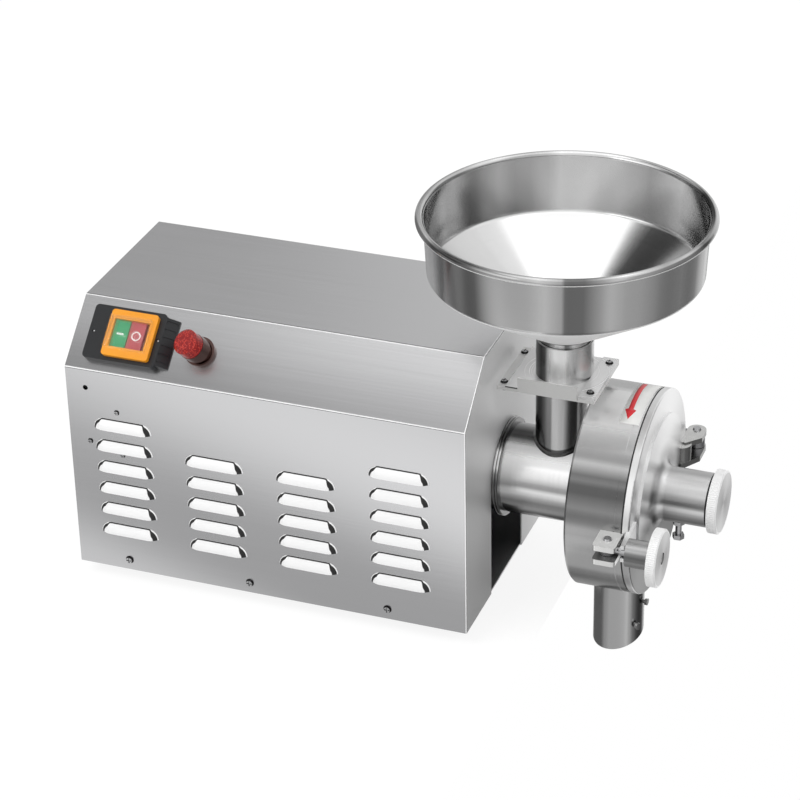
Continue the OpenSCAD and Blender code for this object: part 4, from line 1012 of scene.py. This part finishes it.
def circle(bm, place, radius, height, steps):
    """A loop of vertices round a circle. place(u, v, height) gives each point's place."""
    turns = [2 * math.pi * i / steps for i in range(steps)]
    return [bm.verts.new(place(radius * math.cos(turn), radius * math.sin(turn), height)) for turn in turns]


def solid_patch(outline, place, thickness):
    """A thin plate whose outline is given in 2D. place(u, v, height) gives each point's place."""
    bm = bmesh.new()
    low = [bm.verts.new(place(u, v, 0.0)) for u, v in outline]
    top = [bm.verts.new(place(u, v, thickness)) for u, v in outline]
    bm.faces.new(top)
    bm.faces.new(list(reversed(low)))
    band_of_faces(bm, low, top)
    return bm


def strip_patch(rows, place, thickness):
    """A thin curved plate from rows of (v, u from, u to), closed all round."""
    bm = bmesh.new()
    sheets = []
    for height in (0.0, thickness):
        sheets.append([[bm.verts.new(place(u, v, height)) for u in (low, high)] for v, low, high in rows])
    base, top = sheets
    for i in range(len(rows) - 1):
        bm.faces.new((top[i][0], top[i][1], top[i + 1][1], top[i + 1][0]))
        bm.faces.new((base[i][0], base[i + 1][0], base[i + 1][1], base[i][1]))
        for side in (0, 1):
            bm.faces.new((base[i][side], base[i + 1][side], top[i + 1][side], top[i][side]))
    for i in (0, len(rows) - 1):
        bm.faces.new((base[i][0], base[i][1], top[i][1], top[i][0]))
    bmesh.ops.recalc_face_normals(bm, faces=bm.faces)
    return bm


def ring_mesh(place, radius, width, thickness, steps=40):
    """A flat ring with square edges."""
    bm = bmesh.new()
    outer = radius + width
    corners = ((radius, 0.0), (outer, 0.0), (outer, thickness), (radius, thickness))
    loops = [circle(bm, place, r, height, steps) for r, height in corners]
    for a, b in zip(loops, loops[1:] + loops[:1]):
        band_of_faces(bm, a, b)
    bmesh.ops.recalc_face_normals(bm, faces=bm.faces)
    return bm


def dome(place, radius, rise, steps=24, rings=4):
    """A low dome, closed below."""
    bm = bmesh.new()
    turns = [math.pi / 2 * k / rings for k in range(rings)]
    loops = [circle(bm, place, radius * math.cos(turn), rise * math.sin(turn), steps) for turn in turns]
    top = bm.verts.new(place(0.0, 0.0, rise))
    for a, b in zip(loops, loops[1:]):
        band_of_faces(bm, a, b)
    for i in range(steps):
        bm.faces.new((loops[-1][i], loops[-1][(i + 1) % steps], top))
    bm.faces.new(list(reversed(loops[0])))
    bmesh.ops.recalc_face_normals(bm, faces=bm.faces)
    return bm


def on_drum(x, angle, height):
    """A point on the drum's outside. The angle is from the front, up over the top, in degrees."""
    r = DRUM_R + height
    a = math.radians(angle)
    return at(x, MILL_Y - r * math.cos(a), MILL_Z + r * math.sin(a))


# The label on the drum: its place along the mill, its angles round the drum, and its thickness
LABEL_LEFT = 520.4
LABEL_RIGHT = 539.4
LABEL_LOW = 67.0
LABEL_HIGH = 114.0
LABEL_T = 0.25
LABEL_STEPS = 48
# The arrow on it: angles of its tip, of the root of its head and of its tail, where its middle is at
# the tip and how far it drifts by the tail, half widths of its head and its shaft, and its thickness
ARROW_TIP = 70.0
ARROW_NECK = 77.0
ARROW_TAIL = 112.0
ARROW_MIDDLE = 527.2
ARROW_DRIFT = -3.0
HEAD_HALF = 5.2
SHAFT_HALF = 2.3
PAINT_T = 0.12


def even_steps(low, high):
    return [low + (high - low) * i / LABEL_STEPS for i in range(LABEL_STEPS + 1)]


def make_label():
    """A pale label over the drum's top, with a red arrow that shows which way the mill turns."""
    rows = [(angle, LABEL_LEFT, LABEL_RIGHT) for angle in even_steps(LABEL_LOW, LABEL_HIGH)]
    piece("turn_label", strip_patch(rows, on_drum, LABEL_T), label_white, "machine")
    rows = []
    for angle in even_steps(ARROW_TIP, ARROW_TAIL):
        middle = ARROW_MIDDLE + ARROW_DRIFT / (ARROW_TAIL - ARROW_TIP) * (angle - ARROW_TIP)
        head = HEAD_HALF * (angle - ARROW_TIP) / (ARROW_NECK - ARROW_TIP) + 0.05
        half = SHAFT_HALF if angle > ARROW_NECK else head
        rows.append((angle, middle - half, middle + half))
    arrow = strip_patch(rows, lambda x, angle, height: on_drum(x, angle, height + LABEL_T), PAINT_T)
    piece("turn_arrow", arrow, label_red, "machine")


slope_angle = math.atan2(CASING_H - FRONT_H, SLOPE_BACK)


def on_slope(x, s, n):
    """A point from the slope's lower edge: s runs up the slope, n stands out of it."""
    return at(x, s * math.cos(slope_angle) - n * math.sin(slope_angle),
              FRONT_H + s * math.sin(slope_angle) + n * math.cos(slope_angle))


# Middle of the two buttons on the slope, each button from it, and how far their tops stand out
SWITCH_X = 59.5
SWITCH_S = 36.3
BUTTON_OFFSET = 8.1
BUTTON_TOP = 11.5
# The start mark's half length and half width, and the stop mark's inner radius and width
BAR_HALF = 3.6
BAR_THIN = 0.9
RING_R = 3.4
RING_W = 1.3


def round_point(x, seat):
    """Gives places round a point at the buttons' height on the slope, from a seat above it."""
    def place(u, v, height):
        return on_slope(x + u, SWITCH_S + v, seat + height)
    return place


def make_marks():
    """The signs on the two buttons: a bar for start and a ring for stop."""
    bar = [(-BAR_HALF, -BAR_THIN), (-BAR_HALF, BAR_THIN), (BAR_HALF, BAR_THIN), (BAR_HALF, -BAR_THIN)]
    start = solid_patch(bar, round_point(SWITCH_X - BUTTON_OFFSET, BUTTON_TOP), PAINT_T)
    piece("start_mark", start, white_paint, "start button", smooth=False)
    stop = ring_mesh(round_point(SWITCH_X + BUTTON_OFFSET, BUTTON_TOP), RING_R, RING_W, PAINT_T)
    piece("stop_mark", stop, white_paint, "stop button", smooth=False)


# Small screws that hold the switch, from the switch's middle
SWITCH_MIDDLE = 55.0
SWITCH_SCREWS = {"left": -32.0, "right": 34.0}
SCREW_SEAT = 7.9
SCREW_R = 1.35
SCREW_RISE = 0.9


def make_switch_screws():
    """The two small screw heads beside the switch's frame."""
    for side, offset in SWITCH_SCREWS.items():
        head = dome(round_point(SWITCH_MIDDLE + offset, SCREW_SEAT), SCREW_R, SCREW_RISE)
        piece(f"switch_screw_{side}", head, screw_steel, "machine")


make_label()
make_marks()
make_switch_screws()
